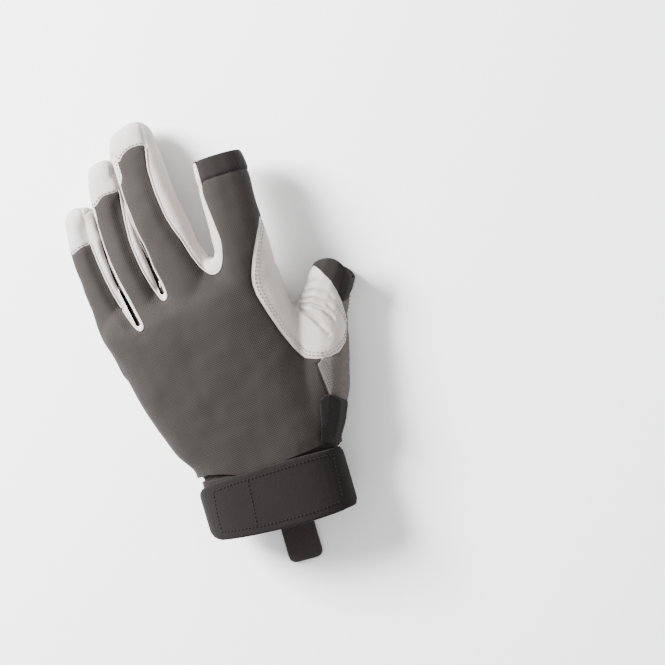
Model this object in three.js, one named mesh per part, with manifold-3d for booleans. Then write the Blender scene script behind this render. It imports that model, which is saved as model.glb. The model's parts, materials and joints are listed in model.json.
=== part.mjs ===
import * as THREE from "three";
import { mergeVertices } from "three/addons/utils/BufferGeometryUtils.js";
import Module from "manifold-3d";

const wasm = await Module();
wasm.setup();

// Driving dimensions in millimetres, for a left-hand glove that lies palm down.
// X points to the thumb, Y from the wrist seam to the fingertips and Z up from the floor.
const HAND_WIDTH = 100;
const PALM_LENGTH = 100;
const HAND_THICKNESS = 40;
const WALL = 2;
const GAP = 0.3;
const SLIT_WIDTH = 1.4;

const LITTLE_LENGTH = 73;
const LITTLE_WIDTH = 19;
const LITTLE_HEIGHT = 18;
const RING_LENGTH = 83;
const RING_WIDTH = 22;
const RING_HEIGHT = 20;
const MIDDLE_LENGTH = 92;
const MIDDLE_WIDTH = 25;
const MIDDLE_HEIGHT = 21;
const INDEX_LENGTH = 60;
const INDEX_WIDTH = 25.5;
const INDEX_HEIGHT = 22;
const THUMB_WIDTH = 24;
const THUMB_HEIGHT = 23;

const INDEX_BAND_LENGTH = 11.5;
const THUMB_BAND_LENGTH = 8;
const BAND_PROUD = 0.6;

const CUFF_LENGTH = 31;
const CUFF_WIDTH = 75;
const CUFF_HEIGHT = 29;
const CUFF_WALL = 2.5;

const STRAP_WIDTH = 28;
const STRAP_THICKNESS = 2.8;
const STRAP_LEAN = 0.05;

const PULL_TAB_WIDTH = 17;
const PULL_TAB_LENGTH = 50;
const PULL_TAB_THICKNESS = 2.6;
const PULL_TAB_CORNER = 4;

const SIDE_TAB_WIDTH = 12;
const SIDE_TAB_LENGTH = 24;
const SIDE_TAB_THICKNESS = 2;

// Roundness of the cross-sections: 2 is an ellipse and more is squarer.
const HAND_ROUNDNESS = 2.5;
const DIGIT_ROUNDNESS = 2.3;
const TIP_ROUNDNESS = 2.7;
const HAND_SIDES = 28;
const DIGIT_SIDES = 14;

// Cross-sections of the hand. y is a share of PALM_LENGTH, left and right of HAND_WIDTH,
// bottom and top of HAND_THICKNESS. What lies below the floor is cut flat.
const HAND_SECTIONS = [
  { y: 0.0, left: -0.37, right: 0.4, bottom: -0.02, top: 0.8 },
  { y: 0.1, left: -0.365, right: 0.44, bottom: -0.05, top: 0.84 },
  { y: 0.25, left: -0.415, right: 0.47, bottom: -0.05, top: 0.9 },
  { y: 0.45, left: -0.448, right: 0.49, bottom: -0.04, top: 0.97 },
  { y: 0.62, left: -0.475, right: 0.49, bottom: 0.02, top: 1.02 },
  { y: 0.8, left: -0.48, right: 0.5, bottom: 0.1, top: 1.06 },
  { y: 0.93, left: -0.495, right: 0.52, bottom: 0.22, top: 1.05 },
  { y: 1.02, left: -0.46, right: 0.5, bottom: 0.36, top: 0.96 },
  { y: 1.085, left: -0.37, right: 0.44, bottom: 0.52, top: 0.84 },
];

// Centre line and size of each digit. base is a share of PALM_LENGTH, t of the digit's length
// counted from its base, x of HAND_WIDTH, z of HAND_THICKNESS, w and h of its own width and height.
// roll turns the back of the digit away from the thumb, in degrees.
const LITTLE = {
  base: 0.92,
  length: LITTLE_LENGTH,
  width: LITTLE_WIDTH,
  height: LITTLE_HEIGHT,
  roll: 10,
  open: false,
  rows: [
    { t: -0.25, x: -0.405, z: 0.56, w: 0.95, h: 0.95 },
    { t: 0.03, x: -0.402, z: 0.58, w: 1.02, h: 1.0 },
    { t: 0.32, x: -0.398, z: 0.5, w: 0.99, h: 0.98 },
    { t: 0.6, x: -0.393, z: 0.37, w: 0.97, h: 0.97 },
    { t: 0.86, x: -0.38, z: 0.25, w: 0.96, h: 0.97 },
    { t: 1.0, x: -0.366, z: 0.22, w: 0.94, h: 0.94 },
  ],
};
const RING = {
  base: 1.0,
  length: RING_LENGTH,
  width: RING_WIDTH,
  height: RING_HEIGHT,
  roll: 10,
  open: false,
  rows: [
    { t: -0.25, x: -0.205, z: 0.66, w: 0.92, h: 0.95 },
    { t: 0.03, x: -0.203, z: 0.68, w: 0.99, h: 1.0 },
    { t: 0.32, x: -0.197, z: 0.57, w: 0.96, h: 0.98 },
    { t: 0.58, x: -0.19, z: 0.4, w: 0.95, h: 0.96 },
    { t: 0.86, x: -0.172, z: 0.26, w: 0.93, h: 0.93 },
    { t: 1.0, x: -0.155, z: 0.24, w: 0.92, h: 0.92 },
  ],
};
const MIDDLE = {
  base: 1.0,
  length: MIDDLE_LENGTH,
  width: MIDDLE_WIDTH,
  height: MIDDLE_HEIGHT,
  roll: 10,
  open: false,
  rows: [
    { t: -0.22, x: 0.055, z: 0.7, w: 0.95, h: 0.95 },
    { t: 0.05, x: 0.055, z: 0.74, w: 1.12, h: 1.0 },
    { t: 0.35, x: 0.056, z: 0.71, w: 1.03, h: 1.0 },
    { t: 0.6, x: 0.045, z: 0.61, w: 0.98, h: 0.98 },
    { t: 0.87, x: 0.046, z: 0.36, w: 0.95, h: 0.94 },
    { t: 1.0, x: 0.056, z: 0.26, w: 0.92, h: 0.92 },
  ],
};
const INDEX = {
  base: 1.0,
  length: INDEX_LENGTH,
  width: INDEX_WIDTH,
  height: INDEX_HEIGHT,
  roll: -20,
  open: true,
  band: INDEX_BAND_LENGTH,
  rows: [
    { t: -0.35, x: 0.35, z: 0.66, w: 0.98, h: 0.95 },
    { t: 0.05, x: 0.388, z: 0.72, w: 1.12, h: 1.0 },
    { t: 0.4, x: 0.42, z: 0.7, w: 1.08, h: 1.0 },
    { t: 0.72, x: 0.437, z: 0.64, w: 1.01, h: 0.98 },
    { t: 1.0, x: 0.452, z: 0.58, w: 0.94, h: 0.98 },
  ],
};
const THUMB = {
  base: 0.0,
  length: PALM_LENGTH,
  width: THUMB_WIDTH,
  height: THUMB_HEIGHT,
  roll: 0,
  open: true,
  band: THUMB_BAND_LENGTH,
  rows: [
    { t: 0.06, x: 0.26, z: 0.4, w: 1.05, h: 1.0 },
    { t: 0.3, x: 0.42, z: 0.38, w: 1.5, h: 1.25 },
    { t: 0.5, x: 0.53, z: 0.36, w: 1.38, h: 1.14 },
    { t: 0.635, x: 0.605, z: 0.33, w: 1.18, h: 1.04 },
    { t: 0.725, x: 0.68, z: 0.31, w: 1.0, h: 0.97 },
    { t: 0.809, x: 0.76, z: 0.3, w: 0.9, h: 0.93 },
  ],
};
const FINGERS = [LITTLE, RING, MIDDLE, INDEX];

// Slits between neighbouring fingers. crotch is the slit's closed end, a share of PALM_LENGTH.
const SLITS = [
  { name: "little_ring", left: LITTLE, right: RING, crotch: 0.935 },
  { name: "ring_middle", left: RING, right: MIDDLE, crotch: 1.04 },
  { name: "middle_index", left: MIDDLE, right: INDEX, crotch: 1.055 },
];

// Angles of the panel seams round a finger, in degrees from its thumb side.
const BACK_SEAM = 36;
const PALM_SEAM = -33;
const EDGE_SEAM = -6;

// Each fingertip cap starts at this share of its finger's length.
const CAPS = [
  { name: "cap_little", digit: LITTLE, start: 0.76 },
  { name: "cap_ring", digit: RING, start: 0.8 },
  { name: "cap_middle", digit: MIDDLE, start: 0.87 },
];

// Plan outlines of the pieces round the thumb, above and below the height SIDE_SPLIT.
// Points are shares of HAND_WIDTH and PALM_LENGTH.
const SIDE_SPLIT = 0.38 * HAND_THICKNESS;
const SADDLE_TOP = [
  [0.7, 1.27],
  [0.557, 1.225],
  [0.511, 1.142],
  [0.444, 1.005],
  [0.413, 0.915],
  [0.42, 0.83],
  [0.426, 0.64],
  [0.464, 0.455],
  [0.53, 0.41],
  [0.62, 0.41],
  [0.68, 0.49],
  [0.75, 0.66],
  [0.85, 0.81],
  [1.0, 1.0],
];
const SADDLE_BOTTOM = [
  [0.7, 1.27],
  [0.557, 1.225],
  [0.5, 1.03],
  [0.23, 0.7],
  [0.42, 0.56],
  [0.6, 0.47],
  [0.72, 0.58],
  [0.85, 0.79],
  [1.0, 1.0],
];
const THUMB_BACK_TOP = [
  [0.34, -0.06],
  [0.43, 0.1],
  [0.5, 0.22],
  [0.56, 0.38],
  [0.6, 0.6],
  [1.1, 0.9],
  [1.1, -0.06],
];
const THUMB_BACK_BOTTOM = [
  [0.3, -0.06],
  [0.4, 0.1],
  [0.5, 0.26],
  [0.6, 0.4],
  [0.7, 0.55],
  [0.85, 0.82],
  [1.1, 0.9],
  [1.1, -0.06],
];

// Heights of the side seam between back and palm, as shares of HAND_THICKNESS.
const SEAM_AT_WRIST = 0.36;
const SEAM_AT_KNUCKLES = 0.52;

const FAR = 150;
const FINEST_DETAIL = 0.02;
const VERTEX_GAP = 0.001;
const lerp = THREE.MathUtils.lerp;
const radians = THREE.MathUtils.degToRad;

// A closed mesh of points and triangles as a solid with its faces outwards.
function solidFrom(points, faces) {
  const vertProperties = new Float32Array(points.flatMap((p) => [p.x, p.y, p.z]));
  const outward = new wasm.Manifold(
    new wasm.Mesh({ numProp: 3, vertProperties, triVerts: new Uint32Array(faces) }),
  );
  if (outward.volume() > 0) return outward;
  const turned = faces.map((_, i) => faces[i - (i % 3) + (2 - (i % 3))]);
  return new wasm.Manifold(
    new wasm.Mesh({ numProp: 3, vertProperties, triVerts: new Uint32Array(turned) }),
  );
}

function solidOfGeometry(geometry) {
  geometry.deleteAttribute("normal");
  geometry.deleteAttribute("uv");
  const merged = mergeVertices(geometry, VERTEX_GAP);
  const position = merged.getAttribute("position");
  const points = [];
  for (let i = 0; i < position.count; i++) {
    points.push(new THREE.Vector3().fromBufferAttribute(position, i));
  }
  return solidFrom(points, Array.from(merged.index.array));
}

function sideFaces(from, to, count) {
  const faces = [];
  for (let i = 0; i < count; i++) {
    const j = (i + 1) % count;
    faces.push(from + i, from + j, to + j, from + i, to + j, to + i);
  }
  return faces;
}

function middleOf(ring) {
  const sum = new THREE.Vector3();
  ring.forEach((p) => sum.add(p));
  return sum.divideScalar(ring.length);
}

// A solid through rings of equally many points, with closed ends.
function loft(rings) {
  const count = rings[0].length;
  const points = rings.flat();
  const faces = [];
  for (let k = 1; k < rings.length; k++) {
    faces.push(...sideFaces((k - 1) * count, k * count, count));
  }
  const first = points.push(middleOf(rings[0])) - 1;
  const last = points.push(middleOf(rings[rings.length - 1])) - 1;
  const end = (rings.length - 1) * count;
  for (let i = 0; i < count; i++) {
    const j = (i + 1) % count;
    faces.push(first, j, i, last, end + i, end + j);
  }
  return solidFrom(points, faces);
}

// A tube whose wall runs through the rings and closes on the first one.
function sleeve(rings) {
  const count = rings[0].length;
  const faces = [];
  rings.forEach((_, k) => {
    faces.push(...sideFaces(k * count, ((k + 1) % rings.length) * count, count));
  });
  return solidFrom(rings.flat(), faces);
}

function unionOf(solids) {
  return solids.reduce((all, one) => all.add(one));
}

// The largest body of a solid, without crumbs that cutting leaves.
function mainBody(solid) {
  const bodies = solid.decompose();
  return bodies.reduce((best, one) => (one.volume() > best.volume() ? one : best));
}

function rounded(value, roundness) {
  return Math.sign(value) * Math.pow(Math.abs(value), 2 / roundness);
}

// Points of a rounded cross-section round a centre, with half sizes along side and up.
function crossSection(centre, side, up, halfWidth, halfHeight, roundness, sides) {
  const ring = [];
  for (let i = 0; i < sides; i++) {
    const angle = (i / sides) * 2 * Math.PI;
    const across = halfWidth * rounded(Math.cos(angle), roundness);
    const high = halfHeight * rounded(Math.sin(angle), roundness);
    ring.push(centre.clone().addScaledVector(side, across).addScaledVector(up, high));
  }
  return ring;
}

const X_AXIS = new THREE.Vector3(1, 0, 0);
const Z_AXIS = new THREE.Vector3(0, 0, 1);

// The hand's body, grown outwards by grow, with its first section moved back by reach.
function handBody(grow, reach) {
  const rows = HAND_SECTIONS.map((row) => ({
    y: row.y * PALM_LENGTH,
    left: row.left * HAND_WIDTH,
    right: row.right * HAND_WIDTH,
    bottom: row.bottom * HAND_THICKNESS,
    top: row.top * HAND_THICKNESS,
  }));
  const last = rows[rows.length - 1];
  last.y += grow;
  rows.unshift({ ...rows[0], y: rows[0].y - reach });
  const rings = rows.map((row) =>
    crossSection(
      new THREE.Vector3((row.left + row.right) / 2, row.y, (row.bottom + row.top) / 2),
      X_AXIS,
      Z_AXIS,
      (row.right - row.left) / 2 + grow,
      (row.top - row.bottom) / 2 + grow,
      HAND_ROUNDNESS,
      HAND_SIDES,
    ),
  );
  return loft(reach > 0 ? rings : rings.slice(1));
}

// Two curves through a digit's rows: its centre line, and its half sizes.
function digitCurves(digit) {
  const base = digit.base * PALM_LENGTH;
  const centres = digit.rows.map(
    (row) =>
      new THREE.Vector3(
        row.x * HAND_WIDTH,
        base + row.t * digit.length,
        row.z * HAND_THICKNESS,
      ),
  );
  const sizes = digit.rows.map(
    (row) => new THREE.Vector3((row.w * digit.width) / 2, (row.h * digit.height) / 2, 0),
  );
  return {
    centre: new THREE.CatmullRomCurve3(centres, false, "catmullrom", 0.5),
    size: new THREE.CatmullRomCurve3(sizes, false, "catmullrom", 0.5),
  };
}
[...FINGERS, THUMB].forEach((digit) => Object.assign(digit, digitCurves(digit)));

// The last stretch of a closed digit's rows is its rounded tip.
function tipStart(digit) {
  return (digit.rows.length - 2) / (digit.rows.length - 1);
}

function tipScale(digit, s) {
  if (digit.open || s <= tipStart(digit)) return 1;
  const q = Math.min(1, (s - tipStart(digit)) / (1 - tipStart(digit)));
  return Math.pow(Math.max(0, 1 - Math.pow(q, TIP_ROUNDNESS)), 1 / TIP_ROUNDNESS);
}

// Place, directions and half sizes of a digit at s, from 0 at its first row to 1 at its last.
function digitFrame(digit, s) {
  const centre = digit.centre.getPoint(s);
  const along = digit.centre.getTangent(Math.min(s, 0.999));
  const flat = new THREE.Vector3().crossVectors(along, Z_AXIS).normalize();
  const side = flat.applyAxisAngle(along, radians(-digit.roll));
  const up = new THREE.Vector3().crossVectors(side, along).normalize();
  const size = digit.size.getPoint(s);
  return { centre, along, side, up, halfWidth: size.x, halfHeight: size.y };
}

// Where along a digit's rows its centre line is at y.
function placeAtY(digit, y) {
  let low = 0;
  let high = 1;
  for (let i = 0; i < 24; i++) {
    const middle = (low + high) / 2;
    if (digit.centre.getPoint(middle).y < y) low = middle;
    else high = middle;
  }
  return (low + high) / 2;
}

// Where along an open digit's rows its hem starts.
function bandStart(digit) {
  const reach = digit.centre.getLength();
  let s = 1;
  while (digit.centre.getPoint(s).distanceTo(digit.centre.getPoint(1)) < digit.band) {
    s -= 1 / (4 * reach);
  }
  return s;
}

function digitStations(digit, end) {
  const stations = [];
  const steps = 8;
  for (let i = 0; i <= steps; i++) {
    stations.push((i / steps) * (digit.open ? end : tipStart(digit)));
  }
  if (!digit.open) {
    [0.45, 0.75, 0.92, 0.99].forEach((q) => {
      stations.push(lerp(tipStart(digit), 1, q));
    });
  }
  return stations;
}

function digitRing(digit, s, grow) {
  const frame = digitFrame(digit, s);
  const scale = tipScale(digit, s);
  const tip = digit.open ? 0 : Math.max(0, (s - tipStart(digit)) / (1 - tipStart(digit)));
  return crossSection(
    frame.centre.addScaledVector(frame.along, grow * tip),
    frame.side,
    frame.up,
    (frame.halfWidth + grow) * scale,
    (frame.halfHeight + grow) * scale,
    DIGIT_ROUNDNESS,
    DIGIT_SIDES,
  );
}

// A digit's form grown outwards by grow. An open digit ends at end and then runs on by reach.
function digitBody(digit, grow, end, reach) {
  const rings = digitStations(digit, end).map((s) => digitRing(digit, s, grow));
  if (digit.open && reach > 0) {
    const along = digitFrame(digit, end).along;
    const last = rings[rings.length - 1];
    rings.push(last.map((p) => p.clone().addScaledVector(along, reach)));
  }
  return loft(rings);
}

// The facing edges of two fingers at y: their midpoint, half the gap, and the slit's directions.
function between(slit, y) {
  const [a, b] = [slit.left, slit.right].map((digit) => {
    const s = placeAtY(digit, y);
    const frame = digitFrame(digit, s);
    return { centre: frame.centre, reach: frame.halfWidth };
  });
  const across = new THREE.Vector3(b.centre.x - a.centre.x, 0, b.centre.z - a.centre.z);
  const gap = across.length() - a.reach - b.reach;
  across.normalize();
  const up = new THREE.Vector3(-across.z, 0, across.x);
  const middle = a.centre.clone().addScaledVector(across, a.reach + gap / 2);
  middle.y = y;
  a.centre.y = y;
  b.centre.y = y;
  return { middle, across, up, half: gap / 2, left: a.centre, right: b.centre };
}

// The far end of a pair of fingers, or of the cut-off one if longest is false.
function pairEnd(slit, longest) {
  const ends = [slit.left, slit.right].map((digit) => digit.centre.getPoint(1).y);
  return longest ? Math.max(...ends) : Math.min(...ends);
}

// The space of a slit, with a rounded closed end, grown outwards by grow.
function slitSpace(slit, grow) {
  const crotch = slit.crotch * PALM_LENGTH;
  const halfAt = (y) => Math.max(SLIT_WIDTH / 2, between(slit, y).half) + grow;
  const nose = halfAt(crotch);
  const rows = [];
  [20, 50, 90].forEach((angle) => {
    const y = crotch - grow + nose * (1 - Math.cos(radians(angle)));
    rows.push([y, nose * Math.sin(radians(angle))]);
  });
  const from = crotch - grow + nose;
  const to = pairEnd(slit, !slit.right.open) + WALL;
  for (let i = 1; i <= 7; i++) {
    const y = lerp(from, to, i / 7);
    rows.push([y, halfAt(y)]);
  }
  const rings = rows.map(([y, half]) => {
    const place = between(slit, y);
    return [
      [-1, -1],
      [1, -1],
      [1, 1],
      [-1, 1],
    ].map(([a, b]) =>
      place.middle
        .clone()
        .addScaledVector(place.across, a * half)
        .addScaledVector(place.up, b * HAND_THICKNESS),
    );
  });
  return loft(rings);
}

// The space between the centre lines of two fingers, from the closed end of their slit.
function slitZone(slit) {
  const from = slit.crotch * PALM_LENGTH - WALL - GAP;
  const to = pairEnd(slit, true) + WALL;
  const rings = [];
  for (let i = 0; i <= 6; i++) {
    const place = between(slit, lerp(from, to, i / 6));
    rings.push([
      place.left.clone().addScaledVector(place.up, -HAND_THICKNESS),
      place.right.clone().addScaledVector(place.up, -HAND_THICKNESS),
      place.right.clone().addScaledVector(place.up, HAND_THICKNESS),
      place.left.clone().addScaledVector(place.up, HAND_THICKNESS),
    ]);
  }
  return loft(rings);
}

// The room that belongs to one finger: it reaches just past the middle of the slits beside it.
function fingerRoom(digit) {
  const before = SLITS.find((slit) => slit.right === digit);
  const after = SLITS.find((slit) => slit.left === digit);
  const from = digit.centre.getPoint(0).y;
  const to = digit.centre.getPoint(1).y + WALL;
  const rings = [];
  for (let i = 0; i <= 7; i++) {
    const y = lerp(from, to, i / 7);
    const edge = (slit, sign) => {
      if (!slit) {
        const middle = new THREE.Vector3(sign * HAND_WIDTH, y, HAND_THICKNESS / 2);
        return { middle, up: Z_AXIS };
      }
      const place = between(slit, y);
      place.middle.addScaledVector(place.across, sign * (SLIT_WIDTH / 4));
      return place;
    };
    const left = edge(before, -1);
    const right = edge(after, 1);
    rings.push([
      left.middle.clone().addScaledVector(left.up, -HAND_THICKNESS),
      right.middle.clone().addScaledVector(right.up, -HAND_THICKNESS),
      right.middle.clone().addScaledVector(right.up, HAND_THICKNESS),
      left.middle.clone().addScaledVector(left.up, HAND_THICKNESS),
    ]);
  }
  return loft(rings);
}

// A wedge along a digit from s = from to its end: above the seams, or below them for sign -1.
function wedge(digit, sign, angles, from, grow) {
  const rings = [];
  const steps = 7;
  for (let i = 0; i <= steps; i++) {
    const s = lerp(from, 1, i / steps);
    const frame = digitFrame(digit, s);
    const [right, left] = angles(s);
    const across = frame.halfWidth + lerp(10, 5, s);
    const high = frame.halfHeight + lerp(16, 4, s);
    const corners = [
      [0, 0],
      [across, across * Math.tan(radians(right))],
      [across, sign * Math.max(high, 1 + across * Math.tan(radians(right * sign)))],
      [-across, sign * Math.max(high, 1 + across * Math.tan(radians(left * sign)))],
      [-across, across * Math.tan(radians(left))],
    ];
    const end = i === steps ? WALL : 0;
    rings.push(
      corners.map(([a, b]) =>
        frame.centre
          .clone()
          .addScaledVector(frame.along, end)
          .addScaledVector(frame.side, a)
          .addScaledVector(frame.up, b - sign * grow),
      ),
    );
  }
  return loft(rings);
}

// Seam angles of the back of a digit, on its thumb side and its other side. The seams rise
// from the closed end of the slits.
function backAngles(digit) {
  return (s) => {
    const rise = THREE.MathUtils.smoothstep(s, 0.14, 0.36);
    const seam = lerp(0, BACK_SEAM, rise);
    return [digit === INDEX ? EDGE_SEAM : seam, digit === LITTLE ? EDGE_SEAM : seam];
  };
}

// Seam angles of the palm side, which close up round the fingertip.
function palmAngles(digit) {
  return (s) => {
    const closing = THREE.MathUtils.smoothstep(s, tipStart(digit) - 0.1, tipStart(digit) + 0.05);
    return [PALM_SEAM, PALM_SEAM].map((a) => lerp(a, digit.open ? a : BACK_SEAM - 1, closing));
  };
}

// The room above the side seams of the hand, grown downwards by grow.
function backRoom(grow) {
  const from = -FAR / 10;
  const to = 0.9 * PALM_LENGTH;
  const rings = [from, 0, to].map((y, k) => {
    const share = k < 2 ? SEAM_AT_WRIST : SEAM_AT_KNUCKLES;
    const seam = share * HAND_THICKNESS - grow;
    return [
      new THREE.Vector3(-FAR, y, seam),
      new THREE.Vector3(FAR, y, seam),
      new THREE.Vector3(FAR, y, FAR),
      new THREE.Vector3(-FAR, y, FAR),
    ];
  });
  return loft(rings);
}

// An outline moved outwards by grow.
function grownOutline(points, grow) {
  const area = points.reduce((sum, p, i) => {
    const q = points[(i + 1) % points.length];
    return sum + p.x * q.y - q.x * p.y;
  }, 0);
  const turn = Math.sign(area);
  return points.map((p, i) => {
    const before = points[(i + points.length - 1) % points.length];
    const after = points[(i + 1) % points.length];
    const a = p.clone().sub(before).normalize();
    const b = after.clone().sub(p).normalize();
    const normal = new THREE.Vector2(a.y + b.y, -a.x - b.x).normalize();
    return p.clone().addScaledVector(normal, turn * grow);
  });
}

// A plan outline, given as shares, raised from z = low to z = high.
function planPrism(shares, grow, low, high) {
  const points = shares.map(([x, y]) => new THREE.Vector2(x * HAND_WIDTH, y * PALM_LENGTH));
  const shape = new THREE.Shape(grownOutline(points, grow));
  const geometry = new THREE.ExtrudeGeometry(shape, { depth: high - low, bevelEnabled: false });
  geometry.translate(0, 0, low);
  return solidOfGeometry(geometry);
}

function twoSidedPrism(top, bottom, grow) {
  const above = planPrism(top, grow, SIDE_SPLIT - GAP / 2, FAR);
  const below = planPrism(bottom, grow, -FAR, SIDE_SPLIT);
  return above.add(below);
}

function aboveFloor(solid, height) {
  const box = new THREE.BoxGeometry(4 * FAR, 4 * FAR, FAR);
  box.translate(0, 0, height + FAR / 2);
  return solid.intersect(solidOfGeometry(box));
}

// The glove's form grown outwards by grow, with open ends run on by reach.
function gloveForm(grow, reach) {
  const digits = [
    ...FINGERS.map((digit) => digitBody(digit, grow, digit.open ? digit.hem : 1, reach)),
    digitBody(THUMB, grow, THUMB.hem, reach),
  ];
  return unionOf([handBody(grow, reach), ...digits]);
}

function gloveShell() {
  const outside = aboveFloor(gloveForm(0, 0), 0);
  const inside = aboveFloor(gloveForm(-WALL, 3 * WALL), WALL);
  const slits = unionOf(SLITS.map((slit) => slitSpace(slit, 0)));
  const linedSlits = unionOf(SLITS.map((slit) => slitSpace(slit, WALL)));
  return outside.subtract(slits).subtract(inside.subtract(linedSlits));
}

// A hem round the end of an open digit.
function hem(digit) {
  const start = digit.hem + GAP / digit.centre.getLength();
  const steps = 4;
  const outer = [];
  const inner = [];
  for (let i = 0; i <= steps; i++) {
    const s = lerp(start, 1, i / steps);
    outer.push(digitRing(digit, s, BAND_PROUD));
    inner.unshift(digitRing(digit, s, -WALL));
  }
  return aboveFloor(sleeve([...outer, ...inner]), 0);
}

// The cuff's cross-section at y, grown outwards by grow, standing on the pull tab.
function cuffRing(y, grow) {
  const centre = new THREE.Vector3(
    0.015 * HAND_WIDTH,
    y,
    PULL_TAB_THICKNESS + GAP + CUFF_HEIGHT / 2,
  );
  const halfWidth = CUFF_WIDTH / 2 + grow;
  const halfHeight = CUFF_HEIGHT / 2 + grow;
  return crossSection(
    centre,
    X_AXIS,
    Z_AXIS,
    halfWidth,
    halfHeight,
    HAND_ROUNDNESS,
    HAND_SIDES,
  );
}

function cuffBody() {
  const ends = [-GAP, -CUFF_LENGTH / 2, -CUFF_LENGTH];
  const outer = ends.map((y) => cuffRing(y, 0));
  const inner = [...ends].reverse().map((y) => cuffRing(y, -CUFF_WALL));
  return sleeve([...outer, ...inner]);
}

// The strap over the back of the cuff, from the thumb side round to the other side.
function strapBody() {
  const rings = [];
  const steps = 26;
  const [from, to] = [-14, 194];
  for (let i = 0; i <= steps; i++) {
    const angle = radians(lerp(from, to, i / steps));
    const point = (grow) => {
      const centre = middleOf(cuffRing(0, 0));
      centre.x += (CUFF_WIDTH / 2 + grow) * rounded(Math.cos(angle), HAND_ROUNDNESS);
      centre.z += (CUFF_HEIGHT / 2 + grow) * rounded(Math.sin(angle), HAND_ROUNDNESS);
      return centre;
    };
    const near = point(GAP);
    const away = point(GAP + STRAP_THICKNESS);
    const middle = -CUFF_LENGTH / 2 - STRAP_LEAN * near.x;
    const end = Math.min(1, 0.72 + 0.14 * Math.min(i, steps - i));
    const half = (STRAP_WIDTH / 2) * end * (1 - 0.12 * Math.pow(Math.cos(angle), 2));
    rings.push(
      [
        [near, -1],
        [away, -1],
        [away, 1],
        [near, 1],
      ].map(([p, sign]) => new THREE.Vector3(p.x, middle + sign * half, p.z)),
    );
  }
  return loft(rings);
}

// The webbing tab that lies under the cuff and stands out past its edge.
function pullTab() {
  const half = PULL_TAB_WIDTH / 2;
  const low = -PULL_TAB_LENGTH;
  const high = -GAP;
  const shape = new THREE.Shape();
  shape.moveTo(-half + 0.6, high);
  shape.lineTo(half - 0.6, high);
  shape.lineTo(half, low + PULL_TAB_CORNER);
  shape.quadraticCurveTo(half, low, half - PULL_TAB_CORNER, low);
  shape.lineTo(-half + PULL_TAB_CORNER, low);
  shape.quadraticCurveTo(-half, low, -half, low + PULL_TAB_CORNER);
  const geometry = new THREE.ExtrudeGeometry(shape, {
    depth: PULL_TAB_THICKNESS,
    bevelEnabled: false,
    curveSegments: 5,
  });
  geometry.translate(-0.03 * HAND_WIDTH, 0, 0);
  return solidOfGeometry(geometry);
}

// The small tab that lies on the thumb side of the wrist and follows its form.
function sideTab() {
  const over = unionOf([
    handBody(GAP + SIDE_TAB_THICKNESS, 0),
    digitBody(THUMB, GAP + SIDE_TAB_THICKNESS, THUMB.hem, 0),
  ]);
  const under = unionOf([handBody(GAP, 3 * WALL), digitBody(THUMB, GAP, THUMB.hem, 0)]);
  const half = SIDE_TAB_WIDTH / 2;
  const shape = new THREE.Shape();
  shape.moveTo(half, 0);
  shape.lineTo(half, SIDE_TAB_LENGTH - half);
  shape.absarc(0, SIDE_TAB_LENGTH - half, half, 0, Math.PI, false);
  shape.lineTo(-half, 0);
  const geometry = new THREE.ExtrudeGeometry(shape, {
    depth: HAND_THICKNESS,
    bevelEnabled: false,
    curveSegments: 8,
  });
  geometry.rotateZ(radians(-29));
  geometry.translate(0.405 * HAND_WIDTH, GAP, SIDE_SPLIT - 2);
  const plan = solidOfGeometry(geometry);
  return over.subtract(under).intersect(plan);
}

// The glove's shell cut into its panels.
function panels() {
  const shell = gloveShell();
  const rooms = new Map(FINGERS.map((digit) => [digit, fingerRoom(digit)]));
  const fingerBacks = (grow) =>
    FINGERS.map((digit) =>
      wedge(digit, 1, backAngles(digit), 0, grow).intersect(rooms.get(digit)),
    );
  const back = (grow) => unionOf([backRoom(grow), ...fingerBacks(grow)]);
  const saddle = (grow) => twoSidedPrism(SADDLE_TOP, SADDLE_BOTTOM, grow);
  const thumbBack = (grow) => twoSidedPrism(THUMB_BACK_TOP, THUMB_BACK_BOTTOM, grow);
  const tips = (grow) =>
    CAPS.map((cap) => {
      const base = cap.digit.base * PALM_LENGTH;
      const s = placeAtY(cap.digit, base + cap.start * cap.digit.length - grow);
      return wedge(cap.digit, 1, backAngles(cap.digit), s, grow).intersect(rooms.get(cap.digit));
    });

  const backGrown = back(GAP).add(back(0));
  const walls = SLITS.map((slit) => {
    const palmSides = (grow) =>
      unionOf(
        [slit.left, slit.right].map((digit) =>
          wedge(digit, -1, palmAngles(digit), 0, grow).intersect(rooms.get(digit)),
        ),
      );
    const zone = slitZone(slit);
    return {
      name: "fourchette_" + slit.name,
      solid: shell.intersect(zone).subtract(backGrown).subtract(palmSides(GAP)),
      room: zone.subtract(palmSides(0)),
    };
  });

  const saddleGrown = saddle(GAP);
  const thumbBackGrown = thumbBack(GAP);
  const pieces = {
    back_panel: shell
      .intersect(back(0))
      .subtract(saddleGrown)
      .subtract(thumbBackGrown)
      .subtract(unionOf(tips(GAP))),
    thumb_saddle: shell.intersect(saddle(0)),
    thumb_back: shell.intersect(thumbBack(0)).subtract(saddleGrown),
    palm_panel: shell
      .subtract(backGrown)
      .subtract(saddleGrown)
      .subtract(thumbBackGrown)
      .subtract(unionOf(walls.map((wall) => wall.room))),
  };
  const capSolids = tips(0);
  CAPS.forEach((cap, i) => {
    pieces[cap.name] = shell.intersect(capSolids[i]);
  });
  walls.forEach((wall) => {
    pieces[wall.name] = wall.solid.subtract(saddleGrown);
  });
  return pieces;
}

INDEX.hem = bandStart(INDEX);
THUMB.hem = bandStart(THUMB);

const FABRICS = {
  stretch_fabric: { color: 0x625d59, roughness: 0.85 },
  leather: { color: 0xcbc7c3, roughness: 0.7 },
  mesh_fabric: { color: 0x716c68, roughness: 0.9 },
  knit_band: { color: 0x3f3b38, roughness: 0.9 },
  strap_fabric: { color: 0x413d3a, roughness: 0.85 },
  webbing: { color: 0x3a3633, roughness: 0.8 },
};

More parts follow.
